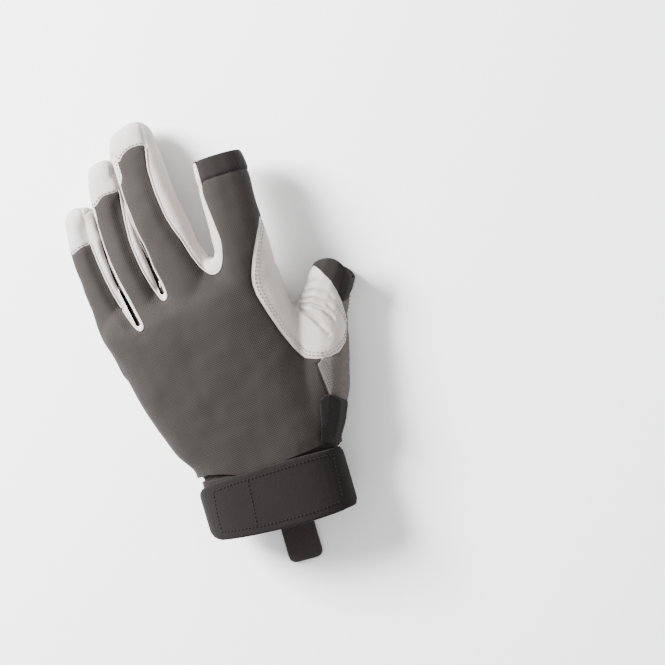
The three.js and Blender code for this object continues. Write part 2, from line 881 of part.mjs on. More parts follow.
const FABRIC_OF = {
  back_panel: "stretch_fabric",
  palm_panel: "leather",
  fourchette_little_ring: "leather",
  fourchette_ring_middle: "leather",
  fourchette_middle_index: "leather",
  cap_little: "leather",
  cap_ring: "leather",
  cap_middle: "leather",
  thumb_saddle: "leather",
  thumb_back: "mesh_fabric",
  index_band: "knit_band",
  thumb_band: "knit_band",
  cuff: "knit_band",
  wrist_strap: "strap_fabric",
  pull_tab: "webbing",
  side_tab: "webbing",
};

function geometryOf(solid) {
  const mesh = solid.getMesh();
  const position = new Float32Array(mesh.numVert * 3);
  for (let i = 0; i < mesh.numVert; i++) {
    for (let k = 0; k < 3; k++) {
      position[i * 3 + k] = mesh.vertProperties[i * mesh.numProp + k];
    }
  }
  const geometry = new THREE.BufferGeometry();
  geometry.setAttribute("position", new THREE.BufferAttribute(position, 3));
  geometry.setIndex(new THREE.BufferAttribute(mesh.triVerts, 1));
  return geometry;
}

// A named mesh of a solid's main body, once vertices closer than VERTEX_GAP are one.
function meshOf(name, solid) {
  const plain = solidOfGeometry(geometryOf(mainBody(solid).simplify(FINEST_DETAIL)));
  const geometry = geometryOf(mainBody(plain));
  geometry.computeVertexNormals();
  const material = new THREE.MeshStandardMaterial({ ...FABRICS[FABRIC_OF[name]], metalness: 0 });
  const made = new THREE.Mesh(geometry, material);
  made.name = name;
  return made;
}

const solids = {
  ...panels(),
  index_band: hem(INDEX),
  thumb_band: hem(THUMB),
  cuff: cuffBody(),
  wrist_strap: strapBody(),
  pull_tab: pullTab(),
  side_tab: sideTab(),
};

const glove = new THREE.Group();
Object.entries(solids).forEach(([name, solid]) => glove.add(meshOf(name, solid)));

// The origin is the middle of the glove's box, on the floor.
const box = new THREE.Box3().setFromObject(glove);
glove.position.set(-(box.min.x + box.max.x) / 2, -(box.min.y + box.max.y) / 2, -box.min.z);

const part = new THREE.Group();
part.add(glove);

export default part;
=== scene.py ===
"""A left-hand climbing glove, lying on its palm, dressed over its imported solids."""

import json
import math

import bmesh
import bpy
import numpy as np
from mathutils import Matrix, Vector, noise
from mathutils.bvhtree import BVHTree

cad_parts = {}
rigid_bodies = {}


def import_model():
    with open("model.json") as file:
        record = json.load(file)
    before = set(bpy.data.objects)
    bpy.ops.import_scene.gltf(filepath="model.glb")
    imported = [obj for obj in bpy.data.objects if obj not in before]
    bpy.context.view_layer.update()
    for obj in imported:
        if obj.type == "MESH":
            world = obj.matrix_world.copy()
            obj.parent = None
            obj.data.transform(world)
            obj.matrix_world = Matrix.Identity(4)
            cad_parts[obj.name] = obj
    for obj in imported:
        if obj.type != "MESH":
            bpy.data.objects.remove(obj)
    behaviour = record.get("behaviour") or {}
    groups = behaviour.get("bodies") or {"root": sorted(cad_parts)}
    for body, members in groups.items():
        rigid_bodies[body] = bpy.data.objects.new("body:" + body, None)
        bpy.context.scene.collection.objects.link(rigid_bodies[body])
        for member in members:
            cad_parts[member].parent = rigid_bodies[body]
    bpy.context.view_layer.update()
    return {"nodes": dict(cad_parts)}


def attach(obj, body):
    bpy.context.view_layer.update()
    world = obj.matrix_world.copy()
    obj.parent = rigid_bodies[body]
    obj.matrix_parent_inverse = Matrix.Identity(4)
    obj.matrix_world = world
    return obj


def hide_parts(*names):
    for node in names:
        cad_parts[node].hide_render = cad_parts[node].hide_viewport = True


bl_info = {
    "name": "Climbing Glove",
    "version": (1, 0, 0),
    "blender": (4, 5, 0),
    "location": "View3D > Sidebar > Glove",
    "description": "Builds the cloth, leather, seams and straps of a climbing glove",
    "category": "Add Mesh",
}

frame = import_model()
NODES = frame["nodes"]

MM = 0.001
# Corners of a solid that are nearer than this, in metres, are one corner.
WELD = 1e-6
# A distance in metres that is longer than any on the glove, and a length that counts as none.
FAR = 1.0
TINY = 1e-12

FOURCHETTES = ("fourchette_little_ring", "fourchette_ring_middle", "fourchette_middle_index")
CAPS = ("cap_little", "cap_ring", "cap_middle")
BANDS = ("index_band", "thumb_band")
PANELS = ("back_panel", "palm_panel", *FOURCHETTES, *CAPS, "thumb_saddle", "thumb_back", *BANDS)
WRIST_PANELS = ("back_panel", "palm_panel", "thumb_back")

# Where the glove is open: the solids that end there, which way they end, and how far round
# the middle of the opening its skin is trimmed.
OPENINGS = (
    (WRIST_PANELS, (0.0, -1.0, 0.0), 0.120),
    (("index_band",), (0.2, 0.97, -0.15), 0.024),
    (("thumb_band",), (0.53, 0.85, 0.0), 0.024),
)
# An opening's plug is this thick, and corners this near to the flat end are its rim.
PLUG_DEPTH = 2.0 * MM
END_DEPTH = 0.3 * MM
# Triangles of a flat end have normals whose product is above this, and the end is the one that
# faces its way best, which counts by this power beside its area.
FLAT = 0.9995
END_POWER = 4
# How deep the plug is cut off again, and how much more than its wall the lining is cut.
TRIM = 0.6 * MM
LINING_TRIM = 2.0 * MM
# Over how many times its cut the lining is drawn out again to its opening.
LINING_DRAWN = 3
# The solids are grown by this, so that the small gaps between them close.
CLOSE_GAPS = 0.2 * MM
# A panel farther than this from a point of the skin doesn't count there.
LABEL_REACH = 8.0 * MM
# Rounds of smoothing: the skin, the lining, its seams, and its slack cloth.
SKIN_ROUNDS = 14
LINING_ROUNDS = 6
SEAM_ROUNDS = 4
SLACK_ROUNDS = 70
# The share that the slack cloth is smoothed, and between which distances that sets in, in
# millimetres: from the cuff, from the end of an open digit, and from a seam.
SLACK = 0.85
SLACK_FROM_CUFF = (1.0, 6.0)
SLACK_FROM_END = (17.0, 26.0)
SLACK_FROM_SEAM = (0.8, 5.0)
# The broad and the small waves of slack cloth: length in millimetres, share of the drape, seed.
WAVES = ((22.0, 1.0, 1), (8.0, 0.35, 2))
WAVE_SHIFT = (17.3, 5.1, 9.7)

# The end of the thumb is drawn out in the middle: its place, its way, how far, over what length,
# half width and reach, the share of that at its underside, and between which heights it is full.
THUMB_END = (58.7, 9.5, 12.0)
THUMB_WAY = (0.69, 0.724, 0.0)
THUMB_BULGE = 7.5
THUMB_LENGTH = 14.0
THUMB_HALF = 11.5
THUMB_REACH = 30.0
THUMB_LOW = 0.35
THUMB_HEIGHTS = (6.0, 18.0)

# Cloth lower than this is pressed flat by the floor.
REST = 0.6 * MM
# The lining dips this many times as deep as the skin, and lies this much farther in, and at the
# closed fingertips, which begin between these two distances along the glove, this much more.
LINING_DIPS = 1.9
LINING_INWARD = 0.2
TIP_INWARD = 1.0
TIP_START = (140.0, 160.0)

SLOTS = {
    "back_panel": "stretch_fabric",
    "palm_panel": "leather",
    "thumb_saddle": "leather_patch",
    "thumb_back": "mesh_fabric",
    "index_band": "knit_band",
    "thumb_band": "knit_band",
    "cuff": "ribbed_elastic",
    "wrist_strap": "strap_fabric",
    "pull_tab": "webbing",
    "side_tab": "tab_fabric",
    **{name: "leather" for name in FOURCHETTES + CAPS},
}

# Outlines of panels as the camera sees them, in millimetres across and along the glove from a
# point at its wrist: the panel, the panels that the line may move it against, and the outline.
SEAMS = (
    (
        "cap_little",
        ("back_panel", "palm_panel"),
        ((-54, 156), (-46.8, 157.7), (-42.6, 158.7), (-37.4, 158.3), (-36, 166), (-34, 184),
         (-54, 184)),
    ),
    (
        "back_panel",
        ("palm_panel", "fourchette_ring_middle", "cap_ring", "back_panel"),
        (
            (-12.6, 160), (-12.0, 167), (-11.2, 174), (-10.0, 181.8), (-8.5, 187.5), (-3, 192),
            (3, 190), (3, 150), (-13, 150),
        ),
    ),
    (
        "cap_ring",
        ("back_panel", "palm_panel"),
        ((-36, 173), (-26.2, 175.7), (-23, 177.9), (-20.4, 178.5), (-12, 177.2), (-8, 183),
         (-6, 200), (-36, 200)),
    ),
    (
        "cap_middle",
        ("back_panel", "palm_panel"),
        (
            (-16, 184), (-8.6, 187.2), (-6.2, 190.8), (-2.8, 193.6), (0.3, 194.9), (2.9, 195.2),
            (6.9, 194.7), (10.4, 193.2), (11.6, 199), (13, 206), (12, 214), (-16, 214),
        ),
    ),
    (
        "fourchette_little_ring",
        ("back_panel", "palm_panel", "cap_little", "fourchette_little_ring"),
        (
            (-34, 180), (-34.6, 175), (-36.1, 166.7), (-37.3, 156.4), (-37.6, 147.3),
            (-37.5, 138.1), (-36.8, 128.6), (-35.2, 117), (-33.5, 109.6), (-32.2, 106.2),
            (-30.9, 104.9), (-29.5, 105.6), (-28.8, 108), (-29.3, 113.5), (-30, 123.1),
            (-31.2, 133.6), (-31.7, 143.8), (-31.4, 153.7), (-30.2, 164), (-28.7, 170.1),
            (-27, 180),
        ),
    ),
    (
        "fourchette_ring_middle",
        ("back_panel", "palm_panel", "cap_ring", "fourchette_ring_middle"),
        (
            (-9.5, 200), (-11, 184), (-12.3, 176.1), (-14, 168.5), (-15.7, 160.9), (-17.4, 151),
            (-17.7, 145.1), (-17.6, 134.2), (-16.4, 124.5), (-14.9, 117.2), (-13.9, 115.1),
            (-12.6, 114.6), (-11.5, 115.8), (-10.9, 118.5), (-10.9, 122.9), (-12.1, 135.1),
            (-13.1, 149.8), (-12.4, 164.5), (-10.3, 180.5), (-7, 198),
        ),
    ),
    (
        "fourchette_middle_index",
        ("back_panel", "palm_panel", "cap_middle", "index_band", "fourchette_middle_index"),
        (
            (13, 208), (11.6, 199), (10.4, 193.2), (6.6, 181.1), (5.2, 168.4), (5.1, 155),
            (6.2, 147), (7.8, 140.5), (9.2, 130.6), (10.9, 123.2), (13.7, 118.2), (16.3, 116.5),
            (19.6, 117.3), (23.3, 122.7), (26, 130.7), (26.6, 143), (27, 155.5), (28.6, 163),
            (29.8, 170.8), (30, 180), (26, 200),
        ),
    ),
    (
        "thumb_back",
        ("back_panel",),
        ((46.5, 60), (45.9, 54.7), (45.4, 45), (44.9, 35), (44, 20), (43, 5), (70, 5), (70, 60)),
    ),
    (
        "thumb_saddle",
        ("back_panel", "palm_panel", "thumb_back", "thumb_band", "thumb_saddle"),
        (
            (50.9, 136), (47.2, 129.8), (44.4, 126.3), (37.4, 115.8), (33.4, 108.4), (31.9, 103.5),
            (31.6, 98), (33.2, 86.6), (35.3, 75.3), (38, 65.3), (41.2, 58), (46.3, 55.2),
            (53.4, 53.2), (59.1, 53.5), (64.2, 56.8), (68.3, 63.8), (70.1, 70.1), (70.7, 76.4),
            (70.6, 82.7), (69.4, 89.5), (66.5, 96.9), (64.5, 100.6), (60, 110), (60, 136),
        ),
    ),
    (
        "thumb_band",
        ("thumb_back", "thumb_band"),
        (
            (70.5, 76), (76, 77), (90, 84), (90, 110), (60, 110), (64.5, 100.6), (66.5, 96.9),
            (69.4, 89.5), (70.6, 82.7),
        ),
    ),
)
# An outline moves seams at most this far, on skin that faces the camera by more than this share.
SEAM_REACH = 7.0 * MM
SEAM_FACING = 0.05

# How the skin is pushed into the shape that the glove has lying there, in the same millimetres:
# where, and how far across and along.
PUSHES = (
    (-2.9, 198.7, -3.6, 0.8), (-4.5, 191.5, -4.2, 0.5), (-7.5, 178, -3.0, 0), (12.2, 202, 0.8, 3.0),
    (18.5, 196.4, -2.2, 0), (15.4, 178.6, 0, 0), (14.1, 163.2, 0, 0), (5, 185, 0, 0),
    (-10, 160, -1.5, 0), (-22.8, 178.1, -3.6, 0), (-21.9, 187.2, -1.8, 0), (-19.2, 192.5, 0, 0),
    (-26, 165, -2.5, 0), (-15, 180, 0, 0), (-20, 160, 0, 0), (-41.6, 159.3, -4.6, 0),
    (-41.9, 165.8, -3.3, 0), (-39, 173.3, -3.2, 2.0), (-44, 153.1, -4.2, 0),
    (-47.4, 134.6, -3.2, 0), (-47.8, 115.7, -2.4, 0), (-36, 150, -1.5, 0), (-38, 130, -1, 0),
    (-38, 100, 0, 0), (50, 160, 2.0, 0), (40, 150, 0, 0), (16.5, 121, 1.8, 7.0),
    (14.2, 147, 0.6, 0), (23.5, 141, 0, 0), (4, 125, 0, 0), (32, 128, 0, 0), (18, 106, 0, 0),
    (62.2, 45.1, -1.8, 0), (54.5, 28.5, -2.0, 0), (63, 60, -1.0, 0), (45, 45, 0, 0), (70, 80, 0, 0),
    (40, 30, 0, 0),
)
# How far a push reaches, and the weight that holds the skin where it is.
PUSH_REACH = 8.0
PUSH_EASE = 0.15

# Where the back of the glove ends over the cuff, across and along.
WRIST_END = (
    (-60, 23), (-34, 23), (-29.6, 22.6), (-22.9, 20.1), (-15.9, 16.6), (2.5, 13.9), (22, 13.2),
    (80, 13.1),
)
# That curved end gives way to a straight one on the palm side, between these heights.
WRIST_HEIGHTS = (6.0, 16.0)

# Where the cloth dips beside the fingers: half width, depth, and the line, across and along.
# A dip fades in over a share of its line at each end, and at the far end only by a part.
DIP_FADE = 0.15
CREASE_FADE = 0.3
FAR_END_FADE = 0.7
DIPS = (
    (3.6, 2.2, ((-34.5, 176), (-37.5, 165), (-39, 153), (-39.2, 139), (-38, 126), (-35.5, 112),
     (-32.5, 104))),
    (3.6, 2.2, ((-13, 182), (-17.5, 163), (-19.3, 147), (-18.7, 132), (-16.5, 119), (-14, 112))),
    (3.0, 1.0, ((7, 188), (3.8, 168), (3.8, 152), (7.5, 132), (12.5, 118), (19, 113))),
    (1.6, 1.4, ((-31, 160), (-32.4, 152.2), (-33, 135), (-32.1, 121.5), (-31.2, 109))),
    (1.6, 1.4, ((-12, 158.8), (-12.8, 145.2), (-12.9, 129.5), (-12.9, 118.7))),
)

# Skin dips fully where it faces the camera by this share, and the palm where it faces down by
# between these two.
FULL_FACING = 0.3
PALM_FACING = (0.2, 0.6)

# The open gaps between the fingers: half width at the start and at the end, and the line. The
# lining's dark cloth shows through them, as painted shade deep in the gaps.
SLITS = (
    (0.4, 1.25, ((-31.4, 158), (-32.4, 150), (-33, 135), (-32.1, 121.5), (-31.2, 109.5))),
    (0.4, 1.2, ((-12, 158.8), (-12.8, 145.2), (-12.9, 129.5), (-12.9, 119.4))),
)
# A slit is closed where the skin, evened over some rounds, faces the camera by less than this
# share. Its sides count as this many millimetres away for each share that is missing, and skin
# farther than the last value isn't near a slit.
SLIT_FACING = 0.15
SLIT_FACING_ROUNDS = 6
SLIT_STEEP = 4.0
SLIT_NEAR = 1.0
# Its lips are smoothed by some rounds, which fade out over a reach, and not on the palm side.
LIP_ROUNDS = 5
LIP_REACH = 2.5
LIP_FACING = 0.02

# The wrist is turned against the hand: angle, the middle of the turn (x, y), and how far past
# it along the glove the turn fades out.
WRIST_TURN = math.radians(-8.0)
WRIST_MIDDLE = (-9.0, -70.9)
WRIST_FADE = 32.0

# Creases of the thumb's leather: half width, depth, and the line, across and along.
CREASES = (
    (1.25, 2.5, ((47.5, 84.5), (48.6, 83), (51, 79.9), (53.5, 75.3), (55.8, 70.1), (57.8, 64.3))),
    (1.0, 2.0, ((47.5, 85), (50, 84.3), (55.1, 82.3), (59.8, 77.5), (62.6, 71.7), (63, 67))),
    (0.9, 1.7, ((49.5, 87.2), (52, 86.7), (57.6, 84.5), (63, 79.5), (65.6, 73.4))),
    (0.9, 1.4, ((52, 89.8), (54.5, 89.3), (60.6, 87.8), (66.1, 83.1), (68, 79))),
    (0.8, 1.0, ((55, 93.5), (57.5, 93.2), (62.6, 92.3), (66.5, 87.5))),
)

# Folds of the palm: half width, depth, and the line as x and y of the glove.
PALM_FOLDS = (
    (2.2, 0.9, ((27, 8), (16, -6), (8, -22), (4, -40), (2, -56))),
    (2.0, 0.7, ((-52, 22), (-38, 28), (-22, 31), (-4, 30), (12, 26))),
    (1.8, 0.6, ((-44, 6), (-28, 8), (-12, 4), (2, -4))),
    (1.6, 0.6, ((-59, 55), (-52, 57), (-46, 58))),
    (1.6, 0.6, ((-38, 66), (-30, 68), (-22, 68))),
    (1.6, 0.6, ((-12, 74), (-4, 75), (4, 74))),
)

# The seam of the palm's patch at the thumb, as x and y of the glove, sewn with two rows.
PATCH_LINE = ((26, 16), (18, 8), (9, -3), (1.5, -12), (1, -15), (4, -18.5), (12, -24), (20, -29))
PATCH_GROOVE = (0.8, 0.5, PATCH_LINE)
PATCH_FADE = 0.02
PATCH_ROW_SHARE = 0.6

# The camera looks down at the back of the glove from the side of its thumb.
CAMERA_TILT = math.radians(17.0)
CAMERA_ROLL = math.radians(24.0)
CAMERA_TARGET = (45.1, -19.7, 16.0)
CAMERA_WIDTH = 345.8
CAMERA_LENS = 300.0
VIEW_ORIGIN = (-22.15, -83.9)
BACK = np.array([math.sin(CAMERA_TILT), 0, math.cos(CAMERA_TILT)])
ACROSS = np.array([math.cos(CAMERA_TILT), 0, -math.sin(CAMERA_TILT)])

# A new corner keeps at least this share of its edge on each side.
EDGE_SHARE = 0.02
# Lines of fewer points than this are no seam, and of fewer than these no row of stitches.
SEAM_POINTS = 6
ROW_POINTS = 12
# Seams end this far inside the end of the glove, and lines with ends nearer than this are one.
SEAM_FROM_CUFF = 0.3 * MM
LINK_REACH = 2.5 * MM
# A way that no line of the glove follows, from which a tube's first ring is turned.
ODD_WAY = (0.31, 0.52, 0.79)
# The radius of a tube's end, as a share, for piping and for stitches, and its sides.
PIPING_END = 0.35
STITCH_END = 0.5
PIPING_SIDES = 8
STITCH_SIDES = 6
# A stitch takes all but one of these steps of its pitch, and its points stand this high over
# the cloth, in radii of the thread.
STITCH_STEPS = 6
STITCH_ARCH = (-0.5, 0.7, 1.0, 0.7, -0.5)


def linear(code):
    """A hex sRGB colour as linear red, green and blue."""
    parts = [(code >> shift & 255) / 255 for shift in (16, 8, 0)]
    return tuple(c / 12.92 if c <= 0.04045 else ((c + 0.055) / 1.055) ** 2.4 for c in parts)


def length(name, text, millimetres):
    """A length that the user can change."""
    return bpy.props.FloatProperty(
        name=name, description=text, default=millimetres * MM, min=0.0, unit="LENGTH"
    )


def colour(name, text, code):
    """A colour that the user can change."""
    return bpy.props.FloatVectorProperty(
        name=name, description=text, default=linear(code), size=3, min=0.0, max=1.0, subtype="COLOR"
    )


class GloveSizes(bpy.types.PropertyGroup):
    mesh_step: length("Mesh step", "Side of a face of the skin", 0.55)
    lining_step: length("Lining step", "Side of a face of the lining", 1.6)
    wall: length("Wall", "Distance of the lining from the outside", 1.9)
    groove_depth: length("Seam groove", "How deep a seam pulls the skin in", 0.45)
    groove_width: length("Seam groove width", "Half width of that groove", 0.9)
    panel_crown: length("Panel crown", "How far a panel swells between its seams", 0.5)
    crown_reach: length("Crown reach", "Distance from a seam where the swell is full", 5.0)
    drape: length("Drape", "Height of the broad waves in the cloth", 0.7)
    piping: length("Piping", "Radius of the rolled leather edge", 0.48)
    hem_wall: length("Hem wall", "Thickness of the two knitted hems", 1.6)
    stitch_pitch: length("Stitch pitch", "Distance from one stitch to the next", 2.1)
    thread: length("Thread", "Radius of the sewing thread", 0.24)
    row_inset: length("Row inset", "Distance of the first stitch row from its seam", 1.8)
    row_gap: length("Row gap", "Distance between two stitch rows", 1.6)
    cap_inset: length("Cap inset", "Distance of a fingertip's stitches from its seam", 1.2)


class GloveColours(bpy.types.PropertyGroup):
    back: colour("Back", "Stretch cloth over the back", 0x282422)
    leather: colour("Leather", "Palm and fingertips", 0xAAA49F)
    patch: colour("Patch", "Leather over the fork of the thumb", 0xA8A29D)
    mesh: colour("Mesh", "Cloth along the thumb", 0x4A4542)
    band: colour("Band", "Hems of index finger and thumb", 0x1B1716)
    cuff: colour("Cuff", "Elastic round the wrist", 0x191615)
    strap: colour("Strap", "Wrist strap", 0x141110)
    webbing: colour("Webbing", "Pull tab", 0x322E2C)
    tab: colour("Side tab", "Folded tab", 0x151211)
    light_thread: colour("Light thread", "Stitches on leather", 0x7E7873)
    dark_thread: colour("Dark thread", "Stitches on cloth", 0x12100F)


def sizes():
    """The sizes that the user set."""
    return bpy.context.scene.glove_sizes


def colours():
    """The colours that the user set."""
    return bpy.context.scene.glove_colours


def cad_arrays(name, grow=0.0):
    """Points and triangles of a CAD node with its corners merged, grown along its normals."""
    bm = bmesh.new()
    bm.from_mesh(NODES[name].data)
    bmesh.ops.remove_doubles(bm, verts=bm.verts[:], dist=WELD)
    bmesh.ops.triangulate(bm, faces=bm.faces[:])
    bm.normal_update()
    bm.verts.index_update()
    points = np.array([v.co + v.normal * grow for v in bm.verts])
    triangles = np.array([[v.index for v in f.verts] for f in bm.faces])
    bm.free()
    return points, triangles


def joined(parts):
    """Several (points, faces) as one."""
    points, faces, start = [], [], 0
    for p, f in parts:
        points.append(p)
        faces.append(np.asarray(f) + start)
        start += len(p)
    return np.concatenate(points), np.concatenate(faces)


def mesh_object(name, points, faces):
    """An object with a mesh of these points and faces."""
    mesh = bpy.data.meshes.new(name)
    mesh.from_pydata(points.tolist(), [], np.asarray(faces).tolist())
    mesh.update()
    made = bpy.data.objects.new(name, mesh)
    bpy.context.collection.objects.link(made)
    return made


def select_only(made):
    """Selects one object and makes it active."""
    bpy.ops.object.select_all(action="DESELECT")
    made.select_set(True)
    bpy.context.view_layer.objects.active = made


def object_arrays(made):
    """Points and triangles of an object's own mesh."""
    mesh = made.data
    points = np.zeros(len(mesh.vertices) * 3)
    mesh.vertices.foreach_get("co", points)
    mesh.calc_loop_triangles()
    triangles = np.zeros(len(mesh.loop_triangles) * 3, dtype=np.int32)
    mesh.loop_triangles.foreach_get("vertices", triangles)
    return points.reshape(-1, 3), triangles.reshape(-1, 3).astype(np.int64)


def remeshed(points, faces, step):
    """The same closed form as even small triangles."""
    work = mesh_object("work", points, faces)
    select_only(work)
    modifier = work.modifiers.new("even", "REMESH")
    modifier.mode = "VOXEL"
    modifier.voxel_size = step
    bpy.ops.object.modifier_apply(modifier=modifier.name)
    result = object_arrays(work)
    bpy.data.meshes.remove(work.data)
    return result


def edges_of(triangles):
    """The edges of triangles, each once, as pairs of points."""
    pairs = np.concatenate([triangles[:, [0, 1]], triangles[:, [1, 2]], triangles[:, [2, 0]]])
    return np.unique(np.sort(pairs, axis=1), axis=0)


def smoothed(values, edges, rounds):
    """Each value moved halfway to the mean of its neighbours, some rounds long."""
    table = values.reshape(len(values), -1).astype(float)
    count = len(table)
    degree = np.bincount(edges.ravel(), minlength=count)[:, None]
    a, b = edges[:, 0], edges[:, 1]
    for _ in range(rounds):
        around = np.stack(
            [
                np.bincount(a, column[b], count) + np.bincount(b, column[a], count)
                for column in table.T
            ],
            axis=1,
        )
        table = table * 0.5 + 0.5 * around / np.maximum(degree, 1)
    return table.reshape(values.shape)


def point_normals(points, triangles):
    """The normal at each point, from the triangles round it."""
    a, b, c = (points[triangles[:, k]] for k in range(3))
    faces = np.cross(b - a, c - a)
    normals = np.zeros_like(points)
    for k in range(3):
        for axis in range(3):
            normals[:, axis] += np.bincount(triangles[:, k], faces[:, axis], len(points))
    return unit(normals)


def clipped(points, triangles, field):
    """The part of a mesh where field is above zero, and its new edge as pairs of points.

    Returns points, triangles, edge pairs, and for each new point the two old ones and the share.
    """
    inside = field[triangles] >= 0
    count = inside.sum(axis=1)
    whole = triangles[count == 3]

    def turned(rows, lone):
        """Triangles turned so that the corner that is alone comes first."""
        first = np.argmax(lone, axis=1)
        return np.stack([rows[np.arange(len(rows)), (first + k) % 3] for k in range(3)], axis=1)

    one = turned(triangles[count == 1], inside[count == 1])
    two = turned(triangles[count == 2], ~inside[count == 2])
    cuts = np.concatenate([one[:, [0, 1]], one[:, [0, 2]], two[:, [0, 1]], two[:, [0, 2]]])
    keys, where = np.unique(np.sort(cuts, axis=1), axis=0, return_inverse=True)
    where = where.reshape(-1)
    a, b = keys[:, 0], keys[:, 1]
    share = np.clip(field[a] / (field[a] - field[b]), EDGE_SHARE, 1 - EDGE_SHARE)
    fresh = points[a] * (1 - share[:, None]) + points[b] * share[:, None]
    start = len(points)
    split = np.split(where + start, np.cumsum([len(one), len(one), len(two)]))
    one_ab, one_ac, two_ab, two_ac = split
    faces = np.concatenate(
        [
            whole,
            np.stack([one[:, 0], one_ab, one_ac], axis=1),
            np.stack([two_ab, two[:, 1], two[:, 2]], axis=1),
            np.stack([two_ab, two[:, 2], two_ac], axis=1),
        ]
    )
    rim = np.concatenate([np.stack([one_ab, one_ac], axis=1), np.stack([two_ac, two_ab], axis=1)])
    every = np.concatenate([points, fresh])
    used = np.zeros(len(every), bool)
    used[faces] = True
    index = np.cumsum(used) - 1
    return every[used], index[faces], index[rim], (used, a, b, share)


def carried(values, cut):
    """Values on the points of a mesh, carried over to its clipped part."""
    used, a, b, share = cut
    share = share.reshape(-1, *[1] * (values.ndim - 1))
    fresh = values[a] * (1 - share) + values[b] * share
    return np.concatenate([values, fresh])[used]


def end_face(names, toward):
    """The flat end of some solids that faces a way: its corners, middle and outward normal."""
    bm = bmesh.new()
    for name in names:
        bm.from_mesh(NODES[name].data)
    bmesh.ops.remove_doubles(bm, verts=bm.verts[:], dist=WELD)
    corners = np.array([v.co[:] for v in bm.verts])
    bm.free()
    points, faces = hull(corners)
    a, b, c = (points[faces[:, k]] for k in range(3))
    normals = np.cross(b - a, c - a)
    area = np.linalg.norm(normals, axis=1)
    normals = unit(normals)
    way = np.array(toward) / np.linalg.norm(toward)
    # The end is flat, so its triangles share one normal, and their areas are added up by it.
    facing = np.maximum(normals @ way, 0) ** END_POWER
    alike = (normals @ normals.T) > FLAT
    normal = normals[np.argmax((alike @ area) * facing)]
    reach = (corners @ normal).max()
    end = corners[corners @ normal > reach - END_DEPTH]
    return end, end.mean(axis=0), normal


def hull(points):
    """The convex hull of some points."""
    bm = bmesh.new()
    for p in points:
        bm.verts.new(p)
    made = bmesh.ops.convex_hull(bm, input=bm.verts[:])
    left = made["geom_unused"] + made["geom_interior"]
    loose = {v for v in left if isinstance(v, bmesh.types.BMVert)}
    bmesh.ops.delete(bm, geom=list(loose), context="VERTS")
    bmesh.ops.triangulate(bm, faces=bm.faces[:])
    bmesh.ops.recalc_face_normals(bm, faces=bm.faces[:])
    bm.verts.index_update()
    result = (
        np.array([v.co[:] for v in bm.verts]),
        np.array([[v.index for v in f.verts] for f in bm.faces]),
    )
    bm.free()
    return result


def distances(points, name, reach):
    """How far each point is from a CAD node, at most reach."""
    corners, triangles = cad_arrays(name)
    tree = BVHTree.FromPolygons(corners.tolist(), triangles.tolist())
    result = np.full(len(points), reach)
    near = np.all(
        (points > corners.min(axis=0) - reach) & (points < corners.max(axis=0) + reach), axis=1
    )
    for k in np.flatnonzero(near):
        found = tree.find_nearest(points[k], reach)
        if found[3] is not None:
            result[k] = found[3]
    return result


def line_distance(points, line):
    """How far each point is from a line of points, and how far along the line, from 0 to 1."""
    best = np.full(len(points), FAR)
    along = np.zeros(len(points))
    for k, (a, b) in enumerate(zip(line[:-1], line[1:])):
        way = b - a
        t = np.clip((points - a) @ way / (way @ way), 0, 1)
        gap = np.linalg.norm(points - a - t[:, None] * way, axis=1)
        closer = gap < best
        best[closer] = gap[closer]
        along[closer] = (k + t[closer]) / (len(line) - 1)
    return best, along


def as_seen(points):
    """Points as the camera sees them: metres across and along from the wrist."""
    moved = points - np.array([*VIEW_ORIGIN, 0]) * MM
    return np.stack([moved @ ACROSS, moved[:, 1]], axis=1)


def dips(flat, lines, ends):
    """How deep some lines are pressed in at flat points; they fade over a share at each end."""
    total = np.zeros(len(flat))
    for width, depth, line in lines:
        gap, along = line_distance(flat, np.array(line) * MM)
        fade = eased(along, 0, ends) * (1 - eased(along, 1 - ends, 1.0) * FAR_END_FADE)
        total += depth * MM * fade * np.exp(-((gap / (width * MM)) ** 2))
    return total


def inside_by(points, outline):
    """How far flat points lie inside a closed outline; outside it, less than zero."""
    ring = np.array(outline) * MM
    gap, _ = line_distance(points, np.concatenate([ring, ring[:1]]))
    a, b = ring, np.roll(ring, -1, axis=0)
    inside = np.zeros(len(points), bool)
    for p, q in zip(a, b):
        crosses = (p[1] > points[:, 1]) != (q[1] > points[:, 1])
        with np.errstate(divide="ignore", invalid="ignore"):
            at = p[0] + (points[:, 1] - p[1]) / (q[1] - p[1]) * (q[0] - p[0])
        inside ^= crosses & (points[:, 0] < at)
    return np.where(inside, gap, -gap)


def eased(values, low, high):
    """Values from low to high as 0 to 1, with a soft start and end."""
    t = np.clip((values - low) / (high - low), 0, 1)
    return t * t * (3 - 2 * t)


def rising(values, limits):
    """Lengths as 0 to 1 between two limits in millimetres."""
    return eased(values, limits[0] * MM, limits[1] * MM)


def bent(points):
    """Points of the glove with its wrist turned the way that it lies."""
    middle = np.array([*WRIST_MIDDLE, 0]) * MM
    moved = points - middle
    angle = WRIST_TURN * (1 - eased(moved[:, 1], 0, WRIST_FADE * MM))
    turned = moved.copy()
    turned[:, 0] = moved[:, 0] * np.cos(angle) - np.minimum(moved[:, 1], 0) * np.sin(angle)
    turned[:, 1] = moved[:, 0] * np.sin(angle) + moved[:, 1] * np.cos(angle)
    return turned + middle


def waves(points, scale, seed):
    """Smooth noise from -1 to 1 at some points, with waves about scale long."""
    shift = Vector(WAVE_SHIFT) * seed
    return np.array([noise.noise(Vector(p) / scale + shift) for p in points])


